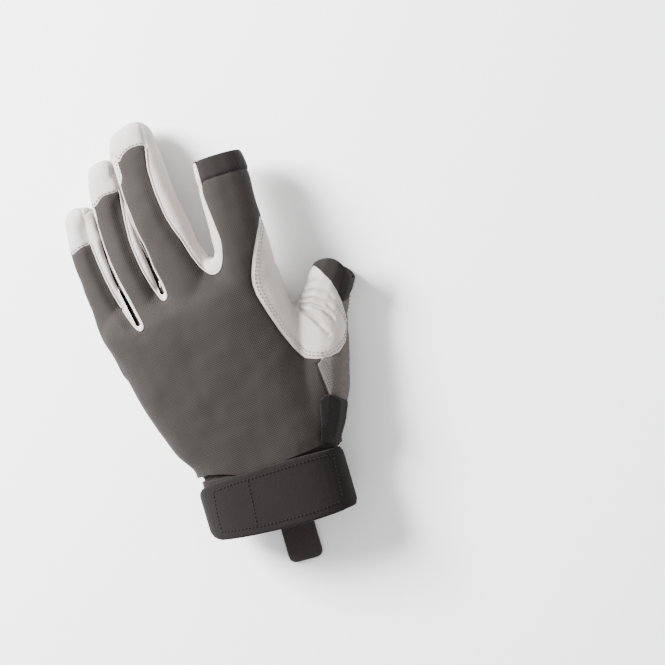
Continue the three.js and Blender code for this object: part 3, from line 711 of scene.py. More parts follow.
class Skin:
    """The glove's outer skin in one piece, which its panels are cut from."""

    def __init__(self):
        s = sizes()
        parts = [cad_arrays(name, CLOSE_GAPS) for name in PANELS]
        ends = []
        for names, toward, reach in OPENINGS:
            corners, middle, normal = end_face(names, toward)
            parts.append(hull(np.concatenate([corners, corners - normal * PLUG_DEPTH])))
            ends.append((middle, normal, reach))
        self.ends = ends
        form = joined(parts)
        # With its openings plugged, remeshing leaves only the outer skin.
        skin = self.relaxed(*remeshed(*form, s.mesh_step), SKIN_ROUNDS)
        self.points, self.triangles = self.trimmed(skin)
        points, triangles = self.relaxed(*remeshed(*form, s.lining_step), LINING_ROUNDS)
        points = points - point_normals(points, triangles) * s.wall
        lining = self.trimmed((points, triangles), s.wall + LINING_TRIM)
        self.lining = self.opened(*lining, s.wall)
        self.edges = edges_of(self.triangles)
        self.gaps = np.stack(
            [distances(self.points, name, LABEL_REACH) for name in PANELS], axis=1
        )
        self.points = self.pushed(self.points)
        self.lining = (self.pushed(self.lining[0]), self.lining[1])
        self.redraw()
        self.gaps = smoothed(self.gaps, self.edges, SEAM_ROUNDS)
        # A panel's field is above zero on it, zero on its seams and less beyond them.
        fields = [self.nearest_other(k) - self.gaps[:, k] for k in range(len(PANELS))]
        self.fields = np.stack(fields, axis=1)
        flat = as_seen(self.points)
        end = np.interp(flat[:, 0] / MM, *zip(*WRIST_END)) * MM
        turned = self.points - np.array([*WRIST_MIDDLE, 0]) * MM
        square = turned[:, 1] * math.cos(WRIST_TURN) - turned[:, 0] * math.sin(WRIST_TURN)
        high = rising(self.points[:, 2], WRIST_HEIGHTS)
        self.wrist = square * (1 - high) + (flat[:, 1] - end) * high
        self.shape()
        self.divide()
        self.tree = BVHTree.FromPolygons(self.points.tolist(), self.triangles.tolist())
        self.normals = point_normals(self.points, self.triangles)

    def nearest_other(self, k):
        """How far each point is from the nearest panel that isn't the one numbered k."""
        return np.delete(self.gaps, k, axis=1).min(axis=1)

    @staticmethod
    def relaxed(points, triangles, rounds):
        """Points smoothed some rounds long, and their triangles."""
        return smoothed(points, edges_of(triangles), rounds), triangles

    def opened(self, points, triangles, wall):
        """The lining drawn out again to the openings, after its closed ends are cut off."""
        cut = wall + LINING_TRIM
        for middle, normal, reach in self.ends:
            depth = (middle - points) @ normal
            near = np.linalg.norm(points - middle, axis=1) < reach
            share = near * np.clip(1 - (depth - cut) / (LINING_DRAWN * cut), 0, 1)
            points = points + normal * (share * (cut - TRIM))[:, None]
        return points, triangles

    def trimmed(self, skin, depth=TRIM):
        """Points and triangles of a skin with the plugs of its openings cut off."""
        points, triangles = skin
        for middle, normal, reach in self.ends:
            beyond = (points - middle) @ normal + depth
            near = np.linalg.norm(points - middle, axis=1) < reach
            field = np.where(near, -beyond, reach)
            points, triangles, _, _ = clipped(points, triangles, field)
        return points, triangles

    @staticmethod
    def pushed(points):
        """Points moved by the pushes near them, and the end of the thumb drawn out."""
        flat = as_seen(points) / MM
        total = np.zeros((len(points), 2))
        weight = np.full(len(points), PUSH_EASE)
        for u, v, du, dv in PUSHES:
            near = np.exp(-((flat[:, 0] - u) ** 2 + (flat[:, 1] - v) ** 2) / PUSH_REACH**2)
            total += near[:, None] * (du, dv)
            weight += near
        move = total / weight[:, None] * MM
        points = points.copy()
        points[:, 0] += move[:, 0] / math.cos(CAMERA_TILT)
        points[:, 1] += move[:, 1]
        middle, way = np.array(THUMB_END) * MM, np.array(THUMB_WAY)
        along = (points - middle) @ way
        side = (points - middle) @ np.array([way[1], -way[0], 0])
        near = np.linalg.norm(points - middle, axis=1) < THUMB_REACH * MM
        bulge = rising(along, (-THUMB_LENGTH, 0))
        bulge *= np.clip(1 - (side / (THUMB_HALF * MM)) ** 2, 0, 1)
        lift = THUMB_LOW + (1 - THUMB_LOW) * rising(points[:, 2], THUMB_HEIGHTS)
        return bent(points + (near * bulge * lift * THUMB_BULGE * MM)[:, None] * way)

    def redraw(self):
        """Moves the edges of panels to their outlines, on the skin that faces the camera."""
        facing = point_normals(self.points, self.triangles) @ BACK > SEAM_FACING
        flat = as_seen(self.points)
        for name, against, outline in SEAMS:
            k = PANELS.index(name)
            allowed = [PANELS.index(other) for other in {*against, name}]
            depth = inside_by(flat, outline)
            # The back is only ever added to: beyond its outline it stays what it was.
            chosen = facing & (np.abs(depth) < SEAM_REACH)
            if name == "back_panel":
                chosen &= depth > 0
            chosen &= np.isin(np.argmin(self.gaps, axis=1), allowed)
            moved = self.nearest_other(k) - depth
            if name == "back_panel":
                moved = np.minimum(moved, self.gaps[:, k])
            self.gaps[chosen, k] = moved[chosen]

    def shape(self):
        """Seams pull in, panels swell between them, and the cloth waves and creases."""
        s = sizes()
        seam = np.abs(np.max(self.fields, axis=1))
        slack = smoothed(self.points, self.edges, SLACK_ROUNDS)
        loose = rising(self.wrist, SLACK_FROM_CUFF) * self.from_ends(self.points)
        share = (SLACK * loose * rising(seam, SLACK_FROM_SEAM))[:, None]
        self.points = self.points * (1 - share) + slack * share
        normals = point_normals(self.points, self.triangles)
        bands = [PANELS.index(name) for name in BANDS]
        soft = ~np.isin(np.argmax(self.fields, axis=1), bands)
        groove = np.exp(-((seam / s.groove_width) ** 2))
        crown = soft * (1 - np.exp(-((seam / s.crown_reach) ** 2) * 2))
        move = crown * s.panel_crown - groove * s.groove_depth
        for size, part, seed in WAVES:
            move += crown * s.drape * part * waves(self.points, size * MM, seed)
        self.points = self.points + normals * move[:, None]
        flat = as_seen(self.points)
        facing = eased(normals @ BACK, 0.0, FULL_FACING)
        drop = dips(flat, DIPS, DIP_FADE) + dips(flat, CREASES, CREASE_FADE)
        self.points = self.points - BACK * (facing * drop)[:, None]
        self.sink_lining()
        below = eased(-normals[:, 2], *PALM_FACING)
        plan = self.points[:, :2]
        rise = dips(plan, PALM_FOLDS, CREASE_FADE) + dips(plan, (PATCH_GROOVE,), PATCH_FADE)
        self.points[:, 2] += below * rise
        self.open_slits(flat, facing)
        # The glove rests on its floor, so its lowest cloth is flattened there.
        low = self.points[:, 2] < REST
        self.points[low, 2] = REST * np.exp(self.points[low, 2] / REST - 1)

    def from_ends(self, points):
        """0 at the open digits' ends, rising to 1 away from them."""
        share = np.ones(len(points))
        for middle, _, _ in self.ends[1:]:
            share *= rising(np.linalg.norm(points - middle, axis=1), SLACK_FROM_END)
        return share

    def sink_lining(self):
        """The lining keeps under the dips of the skin and inside the fingertips."""
        points, faces = self.lining
        normals = point_normals(points, faces)
        under = eased(normals @ BACK, 0.0, FULL_FACING) * dips(as_seen(points), DIPS, DIP_FADE)
        tips = rising(as_seen(points)[:, 1], TIP_START) * self.from_ends(points)
        inward = -normals * (LINING_INWARD * MM + tips * TIP_INWARD * MM)[:, None]
        self.lining = (points - BACK * (under * LINING_DIPS)[:, None] + inward, faces)

    def open_slits(self, flat, facing):
        """How far each point lies outside the slits, whose lips are smoothed."""
        none = SLIT_NEAR * MM
        self.open = np.full(len(flat), none)
        steady = smoothed(facing[:, None], self.edges, SLIT_FACING_ROUNDS)[:, 0]
        steep = (SLIT_FACING - steady) * SLIT_STEEP * MM
        for start, end, line in SLITS:
            gap, along = line_distance(flat, np.array(line) * MM)
            half = (start + (end - start) * along) * MM
            self.open = np.minimum(self.open, np.maximum(gap - half, steep))
        close = smoothed(self.points, self.edges, LIP_ROUNDS)
        near = np.exp(-((np.maximum(self.open, 0) / (LIP_REACH * MM)) ** 2))
        # Skin that has about the value that all of it started with isn't near a slit.
        near = np.where((self.open < 0.99 * none) & (steady > LIP_FACING), near, 0)[:, None]
        self.points = self.points * (1 - near) + close * near

    def divide(self):
        """Cuts the skin into its panels, so that no gap is left where three of them meet."""
        whole = np.minimum(self.wrist, self.open)
        points, triangles, _, cut = clipped(self.points, self.triangles, whole)
        gaps = carried(self.gaps, cut)
        self.parts = {}
        for k, name in enumerate(PANELS):
            own = gaps[:, k].copy()
            gaps[:, k] = FAR
            field = gaps.min(axis=1) - own
            part = clipped(points, triangles, field)
            self.parts[name] = part[:2]
            points, triangles, _, cut = clipped(points, triangles, -field)
            gaps = carried(gaps, cut)

    def panel(self, name):
        """A panel's points and triangles, and the seam round it."""
        field = np.minimum(self.fields[:, PANELS.index(name)], self.wrist)
        return clipped(self.points, self.triangles, field)

    def seam(self, name, others):
        """Lines along which a panel meets some others: (points, normals) each."""
        points, _, rim, cut = self.panel(name)
        gaps = carried(self.gaps, cut)
        normals = carried(self.normals, cut)
        gaps[:, PANELS.index(name)] = FAR
        touching = np.isin(np.argmin(gaps, axis=1), [PANELS.index(o) for o in others])
        touching &= carried(self.wrist, cut) > SEAM_FROM_CUFF
        kept = rim[touching[rim].all(axis=1)]
        return [(points[chain], normals[chain]) for chain in chains(kept)]


def chains(pairs):
    """Edges given as pairs of points, joined end to end into lines."""
    after = {}
    for a, b in pairs.tolist():
        after.setdefault(a, []).append(b)
        after.setdefault(b, []).append(a)
    ends = [k for k, v in after.items() if len(v) == 1]
    found, seen = [], set()
    for start in ends + list(after):
        if start in seen:
            continue
        line = [start]
        seen.add(start)
        while True:
            step = [n for n in after[line[-1]] if n not in seen]
            if not step:
                break
            line.append(step[0])
            seen.add(step[0])
        if len(line) > 2 and line[0] in after[line[-1]]:
            line.append(line[0])
        if len(line) > SEAM_POINTS:
            found.append(line)
    return found


def linked(lines, reach):
    """Lines whose ends lie within reach of each other, joined into one."""
    lines = list(lines)
    k = 0
    while k < len(lines):
        k += 1
        for other in range(len(lines)):
            if other == k - 1:
                continue
            ends = [
                (np.linalg.norm(a[-1] - b[0]), a, b)
                for a in (lines[k - 1], lines[k - 1][::-1])
                for b in (lines[other], lines[other][::-1])
            ]
            gap, a, b = min(ends, key=lambda end: end[0])
            if gap < reach:
                lines[k - 1] = np.concatenate([a, b])
                del lines[other]
                k = 0
                break
    return lines


def evened(points, step, rounds=6):
    """A line smoothed and given points at even steps."""
    points = np.asarray(points, float)
    closed = np.allclose(points[0], points[-1])
    for _ in range(rounds):
        inner = points.copy()
        inner[1:-1] = points[1:-1] * 0.5 + (points[:-2] + points[2:]) * 0.25
        if closed:
            inner[0] = inner[-1] = points[0] * 0.5 + (points[1] + points[-2]) * 0.25
        points = inner
    lengths = np.concatenate([[0], np.cumsum(np.linalg.norm(np.diff(points, axis=0), axis=1))])
    count = max(int(round(lengths[-1] / step)), 2)
    where = np.linspace(0, lengths[-1], count + 1)
    return np.stack([np.interp(where, lengths, points[:, k]) for k in range(3)], axis=1)


_skin = []


def skin():
    """The glove's skin, made once."""
    if not _skin:
        _skin.append(Skin())
    return _skin[0]


def unit(rows):
    """Rows of numbers as rows of length one."""
    return rows / np.maximum(np.linalg.norm(rows, axis=-1, keepdims=True), TINY)


def on_skin(points, lift=0.0):
    """Points put on the skin, lifted off it, and the skin's normals there."""
    tree = skin().tree
    place, normals = [], []
    for p in points:
        found = tree.find_nearest(p)
        place.append(np.array(found[0]) + np.array(found[1]) * lift)
        normals.append(found[1][:])
    return np.array(place), np.array(normals)


def tube(line, radius, sides=PIPING_SIDES, taper=PIPING_END):
    """A round tube along a line with rounded ends."""
    line = np.asarray(line)
    ways = unit(np.gradient(line, axis=0))
    side = unit(np.cross(ways[0], ODD_WAY))
    rings = []
    count = len(line)
    for k, (p, way) in enumerate(zip(line, ways)):
        side = unit(side - way * (side @ way))
        up = np.cross(way, side)
        wide = radius * (taper if k in (0, count - 1) else 1.0)
        turn = np.arange(sides) * 2 * np.pi / sides
        rings.append(p + wide * (np.cos(turn)[:, None] * side + np.sin(turn)[:, None] * up))
    points = np.concatenate([*rings, [line[0]], [line[-1]]])
    faces = []
    for k in range(count - 1):
        for j in range(sides):
            a, b = k * sides + j, k * sides + (j + 1) % sides
            faces.append((a, b, b + sides))
            faces.append((a, b + sides, a + sides))
    first, last = count * sides, count * sides + 1
    for j in range(sides):
        faces.append((first, (j + 1) % sides, j))
        top = (count - 1) * sides
        faces.append((last, top + j, top + (j + 1) % sides))
    return points, np.array(faces)


def stitch_row(line, tree=None):
    """Stitches along a line that lies on the skin or on another surface."""
    s = sizes()
    parts = []
    fine = evened(line, s.stitch_pitch / STITCH_STEPS, 0)
    tree = tree or skin().tree
    arch = np.array(STITCH_ARCH)[:, None]
    for k in range((len(fine) - 1) // STITCH_STEPS):
        part = fine[k * STITCH_STEPS : k * STITCH_STEPS + len(arch)]
        found = [tree.find_nearest(p) for p in part]
        place = np.array([f[0][:] for f in found])
        up = np.array([f[1][:] for f in found])
        parts.append(tube(place + up * arch * s.thread, s.thread, STITCH_SIDES, STITCH_END))
    return parts


def offset_line(line, normals, gap, field):
    """A line moved sideways along the skin by gap, to the side where a field is larger."""
    ways = unit(np.gradient(line, axis=0))
    side = unit(np.cross(normals, ways))

    def inside(points):
        """The sum of the field over some points of a line."""
        few = points[:: max(len(points) // SIDE_POINTS, 1)]
        faces = [skin().triangles[skin().tree.find_nearest(p)[2]] for p in few]
        return sum(field[face].mean() for face in faces)

    sign = 1.0 if inside(line + side * gap) >= inside(line - side * gap) else -1.0
    return line + side * gap * sign


def add(tree, kind, links=(), **settings):
    """Adds a node with its settings, its inputs' values and the links into them."""
    made = tree.nodes.new(kind)
    for key, value in settings.items():
        setattr(made, key, value)
    for socket, value in dict(links).items():
        if isinstance(value, bpy.types.NodeSocket):
            tree.links.new(value, made.inputs[socket])
        else:
            made.inputs[socket].default_value = value
    return made


def cloth(name, base, pattern, pitch, strength, roughness=0.85, sheen=0.03, mottle_and_shade_depth=0.12):
    """A woven, knitted or grained material: base colour, a fine pattern, broad blotches, and
    painted shading in the pattern's hollows.

    pattern is a function that adds the nodes of the fine pattern and returns its height socket.
    """
    made = bpy.data.materials.new(name)
    made.use_nodes = True
    tree = made.node_tree
    tree.nodes.clear()
    place = add(tree, "ShaderNodeTexCoord").outputs["Object"]
    height = pattern(tree, place, pitch)
    blotches = {"Vector": place, "Scale": BLOTCHES, "Detail": 3.0, "Roughness": 0.6}
    broad = add(tree, "ShaderNodeTexNoise", blotches).outputs["Fac"]
    # The pattern's height is added to the random blotches, so its low parts come out darker:
    # painted shade between the threads, in the grain's creases and in the net's holes.
    mottle_and_hollow_shade = add(tree, "ShaderNodeMath", {0: broad, 1: height}, operation="ADD").outputs[0]
    low, high = SHADES
    tones = {"From Min": low, "From Max": high, "To Min": 1 - mottle_and_shade_depth, "To Max": 1 + mottle_and_shade_depth}
    tone = add(tree, "ShaderNodeMapRange", {"Value": mottle_and_hollow_shade, **tones}).outputs["Result"]
    tint = {0: (*base,), "Scale": tone}
    relief = {"Height": height, "Strength": strength, "Distance": RELIEF}
    gloss = {"To Min": roughness - UNEVEN_GLOSS, "To Max": roughness + UNEVEN_GLOSS}
    surface = {
        "Base Color": add(tree, "ShaderNodeVectorMath", tint, operation="SCALE").outputs[0],
        "Roughness": add(tree, "ShaderNodeMapRange", {"Value": height, **gloss}).outputs["Result"],
        "Normal": add(tree, "ShaderNodeBump", relief).outputs["Normal"],
        "Sheen Weight": sheen,
        "Sheen Roughness": 0.5,
        "Specular IOR Level": 0.15,
        "IOR": 1.5,
    }
    shader = add(tree, "ShaderNodeBsdfPrincipled", surface)
    add(tree, "ShaderNodeOutputMaterial", {"Surface": shader.outputs[0]})
    return made


# Blotches in a metre, the darkest and lightest sum of blotches and pattern, whose hollows are
# painted shading; the depth of a pattern of full strength, and how much a pattern changes the
# gloss.
BLOTCHES = 60.0
SHADES = (0.35, 1.5)
RELIEF = 0.3 * MM
UNEVEN_GLOSS = 0.06
# A wave texture repeats this many times in a metre at a scale of one.
WAVE_REPEATS = 3.2


def waved(tree, place, pitch, way, distortion, detail):
    """Rows a pitch apart, that follow each other along an axis."""
    scale = 1 / pitch / WAVE_REPEATS
    rows = {"Vector": place, "Scale": scale, "Distortion": distortion, "Detail": detail}
    return add(tree, "ShaderNodeTexWave", rows, bands_direction=way).outputs["Fac"]


def product(tree, first, second):
    """Two heights multiplied."""
    return add(tree, "ShaderNodeMath", {0: first, 1: second}, operation="MULTIPLY").outputs[0]


def weave(tree, place, pitch):
    """Two sets of threads that cross at right angles over the surface."""
    return product(tree, *(waved(tree, place, pitch, way, 0.4, 1.0) for way in "XY"))


def grain(tree, place, pitch):
    """Small rounded pebbles with thin creases between them, as tanned skin has."""
    cells = {"Vector": place, "Scale": 1 / pitch, "Randomness": 1.0}
    edge = add(tree, "ShaderNodeTexVoronoi", cells, feature="DISTANCE_TO_EDGE").outputs["Distance"]
    cut = add(tree, "ShaderNodeMapRange", {"Value": edge, "From Max": 0.25}).outputs["Result"]
    fibres = {"Vector": place, "Scale": 0.35 / pitch, "Detail": 5.0}
    return product(tree, cut, add(tree, "ShaderNodeTexNoise", fibres).outputs["Fac"])


def holes(tree, place, pitch):
    """A net with small round holes."""
    cells = {"Vector": place, "Scale": 1 / pitch, "Randomness": 0.25}
    spots = add(tree, "ShaderNodeTexVoronoi", cells).outputs["Distance"]
    rim = {"Value": spots, "From Min": 0.15, "From Max": 0.45}
    return add(tree, "ShaderNodeMapRange", rim).outputs["Result"]


def ribs(tree, place, pitch):
    """Knitted ribs that run along the glove."""
    yarn = add(tree, "ShaderNodeTexNoise", {"Vector": place, "Scale": 900.0}).outputs["Fac"]
    return product(tree, waved(tree, place, pitch, "X", 0.6, 2.0), yarn)


def nap(tree, place, pitch):
    """A brushed face of short tangled loops."""
    loops = {"Vector": place, "Scale": 0.5 / pitch, "Detail": 6.0}
    return add(tree, "ShaderNodeTexNoise", loops).outputs["Fac"]


_materials = {}


def materials():
    """The glove's finishes by slot, made once."""
    if _materials:
        return _materials
    c = colours()
    _materials.update(
        {
            # Softshell: nylon woven with elastane and piece-dyed. Its crimped threads scatter the
            # light, so it looks matt and shades softly. They lie about 0.4 mm apart on the real
            # cloth, which is too fine to show, and are drawn 0.9 mm apart.
            "stretch_fabric": cloth("woven_stretch_nylon", c.back, weave, 0.9 * MM, 0.5),
            # Goat leather, tanned white, split and buffed, which leaves a short nap: pale and
            # matt with a faint pebble, about 0.5 mm wide on the skin and drawn 1.1 mm wide.
            "leather": cloth(
                "buffed_goat_leather", c.leather, grain, 1.1 * MM, 0.35, 0.72, 0.03, 0.07
            ),
            # The same leather, cut from a firmer part of the skin: a finer and flatter pebble.
            "leather_patch": cloth(
                "goat_leather_patch", c.patch, grain, 1.0 * MM, 0.3, 0.72, 0.03, 0.06
            ),
            # Warp-knitted nylon net: light yarn round small holes, whose darkness is painted shade.
            # The holes of such a net are about 1.3 mm apart.
            "mesh_fabric": cloth("warp_knit_nylon_mesh", c.mesh, holes, 1.3 * MM, 0.6),
            # Nylon knitted in ribs: matt, with fine lines along the digit. They are drawn 0.9 mm
            # apart, where the real ribs are about 0.6 mm apart.
            "knit_band": cloth("rib_knit_nylon", c.band, ribs, 0.9 * MM, 0.6),
            # Elastic woven with rubber cores, which give it ribs about 1.1 mm apart.
            "ribbed_elastic": cloth("woven_elastic", c.cuff, ribs, 1.1 * MM, 0.6),
            # Knitted nylon whose loops are brushed up to hold hooks: a dull, cloudy face. The
            # loops are about 0.3 mm wide and are drawn 0.8 mm wide.
            "strap_fabric": cloth("brushed_loop_nylon", c.strap, nap, 0.8 * MM, 0.6, 0.9, 0.02),
            # Nylon webbing, woven from thick yarn 1.2 mm apart: a checked face with a slight
            # gloss on each yarn.
            "webbing": cloth("woven_nylon_webbing", c.webbing, weave, 1.2 * MM, 0.8, 0.7),
            # Plain nylon cloth, folded and sewn: matt, with its threads drawn 0.9 mm apart, as
            # the back's are.
            "tab_fabric": cloth("folded_nylon_cloth", c.tab, weave, 0.9 * MM, 0.5),
            # Spun polyester thread, twisted from fibres: each stitch has a soft gloss. The twist
            # is about 0.3 mm long.
            "light_thread": cloth(
                "polyester_thread_light", c.light_thread, nap, 0.3 * MM, 0.2, 0.6
            ),
            "dark_thread": cloth("polyester_thread_dark", c.dark_thread, nap, 0.3 * MM, 0.2, 0.6),
        }
    )
    return _materials


def finished(name, points, faces, slot, replaces=None, finish=None):
    """A piece of the glove, smooth, in its material and riding on the glove."""
    made = mesh_object(name, points, faces)
    made.data.materials.append(materials()[finish or slot])
    select_only(made)
    bpy.ops.object.shade_smooth()
    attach(made, "root")
    if replaces:
        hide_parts(replaces)
    return made


class GLOVE_OT_panels(bpy.types.Operator):
    """Cut the cloth and leather panels from the glove's skin"""

    bl_idname = "glove.panels"
    bl_label = "Panels"

    def execute(self, context):
        for name in PANELS:
            points, triangles = skin().parts[name]
            if not len(triangles):
                raise RuntimeError(name + " is empty")
            made = finished(name + "_soft", points, triangles, SLOTS[name], name)
            if name in BANDS:
                wall = made.modifiers.new("wall", "SOLIDIFY")
                wall.thickness = sizes().hem_wall
                wall.offset = -1.0
                select_only(made)
                bpy.ops.object.modifier_apply(modifier=wall.name)
        # The lining is the glove's inner wall, in the back's dark cloth; where it shows through the
        # slits between the fingers, its darkness is painted shade for the depth of the gaps.
        points, triangles = skin().lining
        finished("lining", points, triangles[:, ::-1], "stretch_fabric")
        return {"FINISHED"}


# Piping is laid in steps this long, lifted off the skin and smoothed some rounds.
PIPING_STEP = 0.8 * MM
PIPING_LIFT = 0.25 * MM
PIPING_ROUNDS = 3


class GLOVE_OT_piping(bpy.types.Operator):
    """Add the rolled leather edges between the back and the fingers' sides"""

    bl_idname = "glove.piping"
    bl_label = "Piping"

    def execute(self, context):
        parts = []
        seams = [line for line, _ in skin().seam("back_panel", FOURCHETTES)]
        for line in linked(seams, LINK_REACH):
            even, _ = on_skin(evened(line, PIPING_STEP), PIPING_LIFT)
            parts.append(tube(evened(even, PIPING_STEP, PIPING_ROUNDS), sizes().piping))
        finished("edge_piping", *joined(parts), "leather")
        return {"FINISHED"}


# How finely a wrist piece is remeshed, in millimetres, and its rounds of smoothing.
FINENESS = {
    "cuff": (0.7, 4),
    "wrist_strap": (0.6, 4),
    "pull_tab": (0.6, 3),
    "side_tab": (0.5, 3),
}
# How the cuff, the tabs and the strap differ from their solids, in millimetres and shares.
CUFF_SHARE = 0.93
CUFF_TUCK = 2.5
SIDE_TAB_MOVE = (-0.4, 2.5, 2.2)
SIDE_TAB_SHARE = 0.87
PULL_TAB_ASIDE = 5.0
PULL_TAB_WIDER = 1.12
PULL_TAB_LONGER = 1.07
STRAP_MIDDLE = (3.0, -2.0)
STRAP_WIDER = 1.22
STRAP_LIFT = 1.1
STRAP_LEVEL = 0.03
STRAP_TAPER = 0.07
STRAP_CORNER = 6.0


class GLOVE_OT_wrist(bpy.types.Operator):
    """Add the cuff, the wrist strap and the two tabs"""

    bl_idname = "glove.wrist"
    bl_label = "Wrist"

    def execute(self, context):
        for name, (step, rounds) in FINENESS.items():
            points, triangles = remeshed(*cad_arrays(name), step * MM)
            points = smoothed(points, edges_of(triangles), rounds)
            points = getattr(self, name)(points)
            finished(name + "_soft", bent(points), triangles, SLOTS[name], name)
        return {"FINISHED"}

    @staticmethod
    def cuff(points):
        """The cuff a little shorter, and tucked under the strap."""
        top = points[:, 1].max()
        points[:, 1] = top + (points[:, 1] - top) * CUFF_SHARE
        points[:, 1] += CUFF_TUCK * MM
        return points

    @staticmethod
    def pull_tab(points):
        """The pull tab a little wider and longer, and moved aside."""
        middle, top = points[:, 0].mean(), points[:, 1].max()
        points[:, 0] = middle + PULL_TAB_ASIDE * MM + (points[:, 0] - middle) * PULL_TAB_WIDER
        points[:, 1] = top + (points[:, 1] - top) * PULL_TAB_LONGER
        return points

    @staticmethod
    def side_tab(points):
        """The side tab narrower, and lifted on to the cloth."""
        edge = points[:, 0].max()
        points[:, 0] = edge - (edge - points[:, 0]) * SIDE_TAB_SHARE
        return points + np.array(SIDE_TAB_MOVE) * MM

    @staticmethod
    def wrist_strap(points):
        """The strap widened, levelled and tapered, with the corners of its left end rounded."""
        flat = as_seen(points) / MM
        across = flat[:, 0] - STRAP_MIDDLE[0]
        along = (flat[:, 1] - STRAP_MIDDLE[1]) * STRAP_WIDER + across * STRAP_LEVEL
        half = np.abs(along).max()
        along += (along / half + 1) / 2 * across * STRAP_TAPER
        near = np.clip(flat[:, 0] - flat[:, 0].min(), 0, STRAP_CORNER)
        rounded = half - STRAP_CORNER + np.sqrt(STRAP_CORNER**2 - (STRAP_CORNER - near) ** 2)
        along *= rounded / half
        points[:, 1] = (VIEW_ORIGIN[1] + STRAP_MIDDLE[1] + STRAP_LIFT + along) * MM
        return points


# Where the pull tab is sewn on, as shares of its box: a square with a cross in it.
TAB_ROWS = (
    ((0.36, 0.94), (0.86, 0.94), (0.8, 0.7), (0.3, 0.7), (0.36, 0.94)),
    ((0.38, 0.93), (0.78, 0.71)),
    ((0.84, 0.93), (0.32, 0.71)),
)
# Where the strap is sewn, across and along as the camera sees it.
STRAP_ROWS = (
    ((-31, 13.5), (-34, 2), (-36, -9.5)),
    ((-12, 12), (-14.5, 0), (-17.5, -13)),
    ((34, 6.5), (32, -4), (29.5, -16)),
    ((-31, 13.5), (-20, 13.2), (2, 10.6), (21, 8.6), (34, 6.5)),
    ((-36, -7.2), (-26, -10), (-16, -12.6), (-5, -14.4), (11, -16.8), (21, -17.4), (29, -17.6)),
)
# Rows of stitches are laid in steps this long and smoothed some rounds. The points of the patch's
# line stand this far apart first, so that its corners stay round.
ROW_STEP = 0.5 * MM
ROW_ROUNDS = 8
PATCH_STEP = 2.0 * MM
PATCH_ROUNDS = 6
# Rays that look for the strap start this high over it, and those for the tab this far below.
ABOVE_STRAP = 0.2
BELOW_TAB = 5.0 * MM
# At most about this many points say on which side of a seam its panel lies.
SIDE_POINTS = 20


class GLOVE_OT_stitching(bpy.types.Operator):
    """Sew the rows of stitches"""

    bl_idname = "glove.stitching"
    bl_label = "Stitching"

    def execute(self, context):
        light = self.seams() + self.patch()
        finished("leather_stitches", *joined(light), "leather_patch", finish="light_thread")
        dark = self.strap() + self.tab()
        finished("strap_stitches", *joined(dark), "strap_fabric", finish="dark_thread")
        return {"FINISHED"}

    def seams(self):
        """Stitches beside the seams of the leather over the thumb and of the fingertips."""
        s = sizes()
        double, single = (s.row_inset, s.row_inset + s.row_gap), (s.cap_inset,)
        rows = (
            ("thumb_saddle", "back_panel", double),
            ("thumb_saddle", "thumb_back", double),
            *((name, "back_panel", single) for name in CAPS),
        )
        parts = []
        for name, other, insets in rows:
            field = skin().fields[:, PANELS.index(name)]
            for line, _ in skin().seam(name, (other,)):
                if len(line) < ROW_POINTS:
                    continue
                place, up = on_skin(evened(line, PIPING_STEP))
                for inset in insets:
                    row = offset_line(place, smooth_rows(up, ROW_ROUNDS), inset, field)
                    parts += stitch_row(evened(row, ROW_STEP, ROW_ROUNDS))
        return parts

    def patch(self):
        """Stitches on both sides of the groove round the palm's patch."""
        parts = []
        line = np.array([(x, y, 0) for x, y in PATCH_LINE]) * MM
        place, up = on_skin(evened(evened(line, PATCH_STEP, 0), ROW_STEP, PATCH_ROUNDS))
        ways = unit(np.gradient(place, axis=0))
        for side in (1, -1):
            aside = side * sizes().row_inset * PATCH_ROW_SHARE
            row, _ = on_skin(place + unit(np.cross(up, ways)) * aside)
            parts += stitch_row(evened(row, ROW_STEP, ROW_ROUNDS))
        return parts

    def strap(self):
        """Stitches on the strap."""
        _, tree = self.piece("wrist_strap_soft")
        start = np.array([*VIEW_ORIGIN, 0]) * MM + BACK * ABOVE_STRAP
        parts = []
        for line in STRAP_ROWS:
            seen = evened(np.array([(u, v, 0) for u, v in line]) * MM, ROW_STEP, 0)
            starts = [start + ACROSS * u + np.array([0, v, 0]) for u, v, _ in seen]
            parts += self.sewn(tree, starts, -BACK)
        return parts

    def tab(self):
        """Stitches on the pull tab."""
        points, tree = self.piece("pull_tab_soft")
        low, high = points.min(axis=0), points.max(axis=0)
        parts = []
        for line in TAB_ROWS:
            flat = np.array([(low + (high - low) * (x, y, 0)) for x, y in line])
            starts = evened(flat, ROW_STEP, 0) - np.array([0, 0, BELOW_TAB])
            parts += self.sewn(tree, starts, (0, 0, 1))
        return parts

    @staticmethod
    def piece(name):
        """The points of a piece, and a tree of its faces."""
        points, triangles = object_arrays(bpy.data.objects[name])
        return points, BVHTree.FromPolygons(points.tolist(), triangles.tolist())

    @staticmethod
    def sewn(tree, starts, way):
        """Stitches where rays from some points meet a piece."""
        hits = [tree.ray_cast(start, way) for start in starts]
        row = np.array([hit[0][:] for hit in hits if hit[0] is not None])
        return stitch_row(row, tree) if len(row) > ROW_POINTS else []


def smooth_rows(rows, rounds):
    """Directions along a line, evened over some rounds."""
    for _ in range(rounds):
        rows = rows.copy()
        rows[1:-1] = rows[1:-1] * 0.5 + (rows[:-2] + rows[2:]) * 0.25
    return unit(rows)


# The floor's side and how far it lies under the glove, in metres, and how bright it is; how
# bright the studio is; and each light's place to the right, up and back, its side and power.
FLOOR_SIDE = 6.0
FLOOR_DROP = 0.0002
FLOOR_WHITE = (0.95, 0.95, 0.95, 1)
FLOOR_ROUGHNESS = 0.9
STUDIO = 1.15
LIGHTS = (
    ("key", (-1.25, 0.5, 0.5), 0.6, 130.0),
    ("fill", (0.9, -0.2, 1.0), 1.2, 3.0),
)


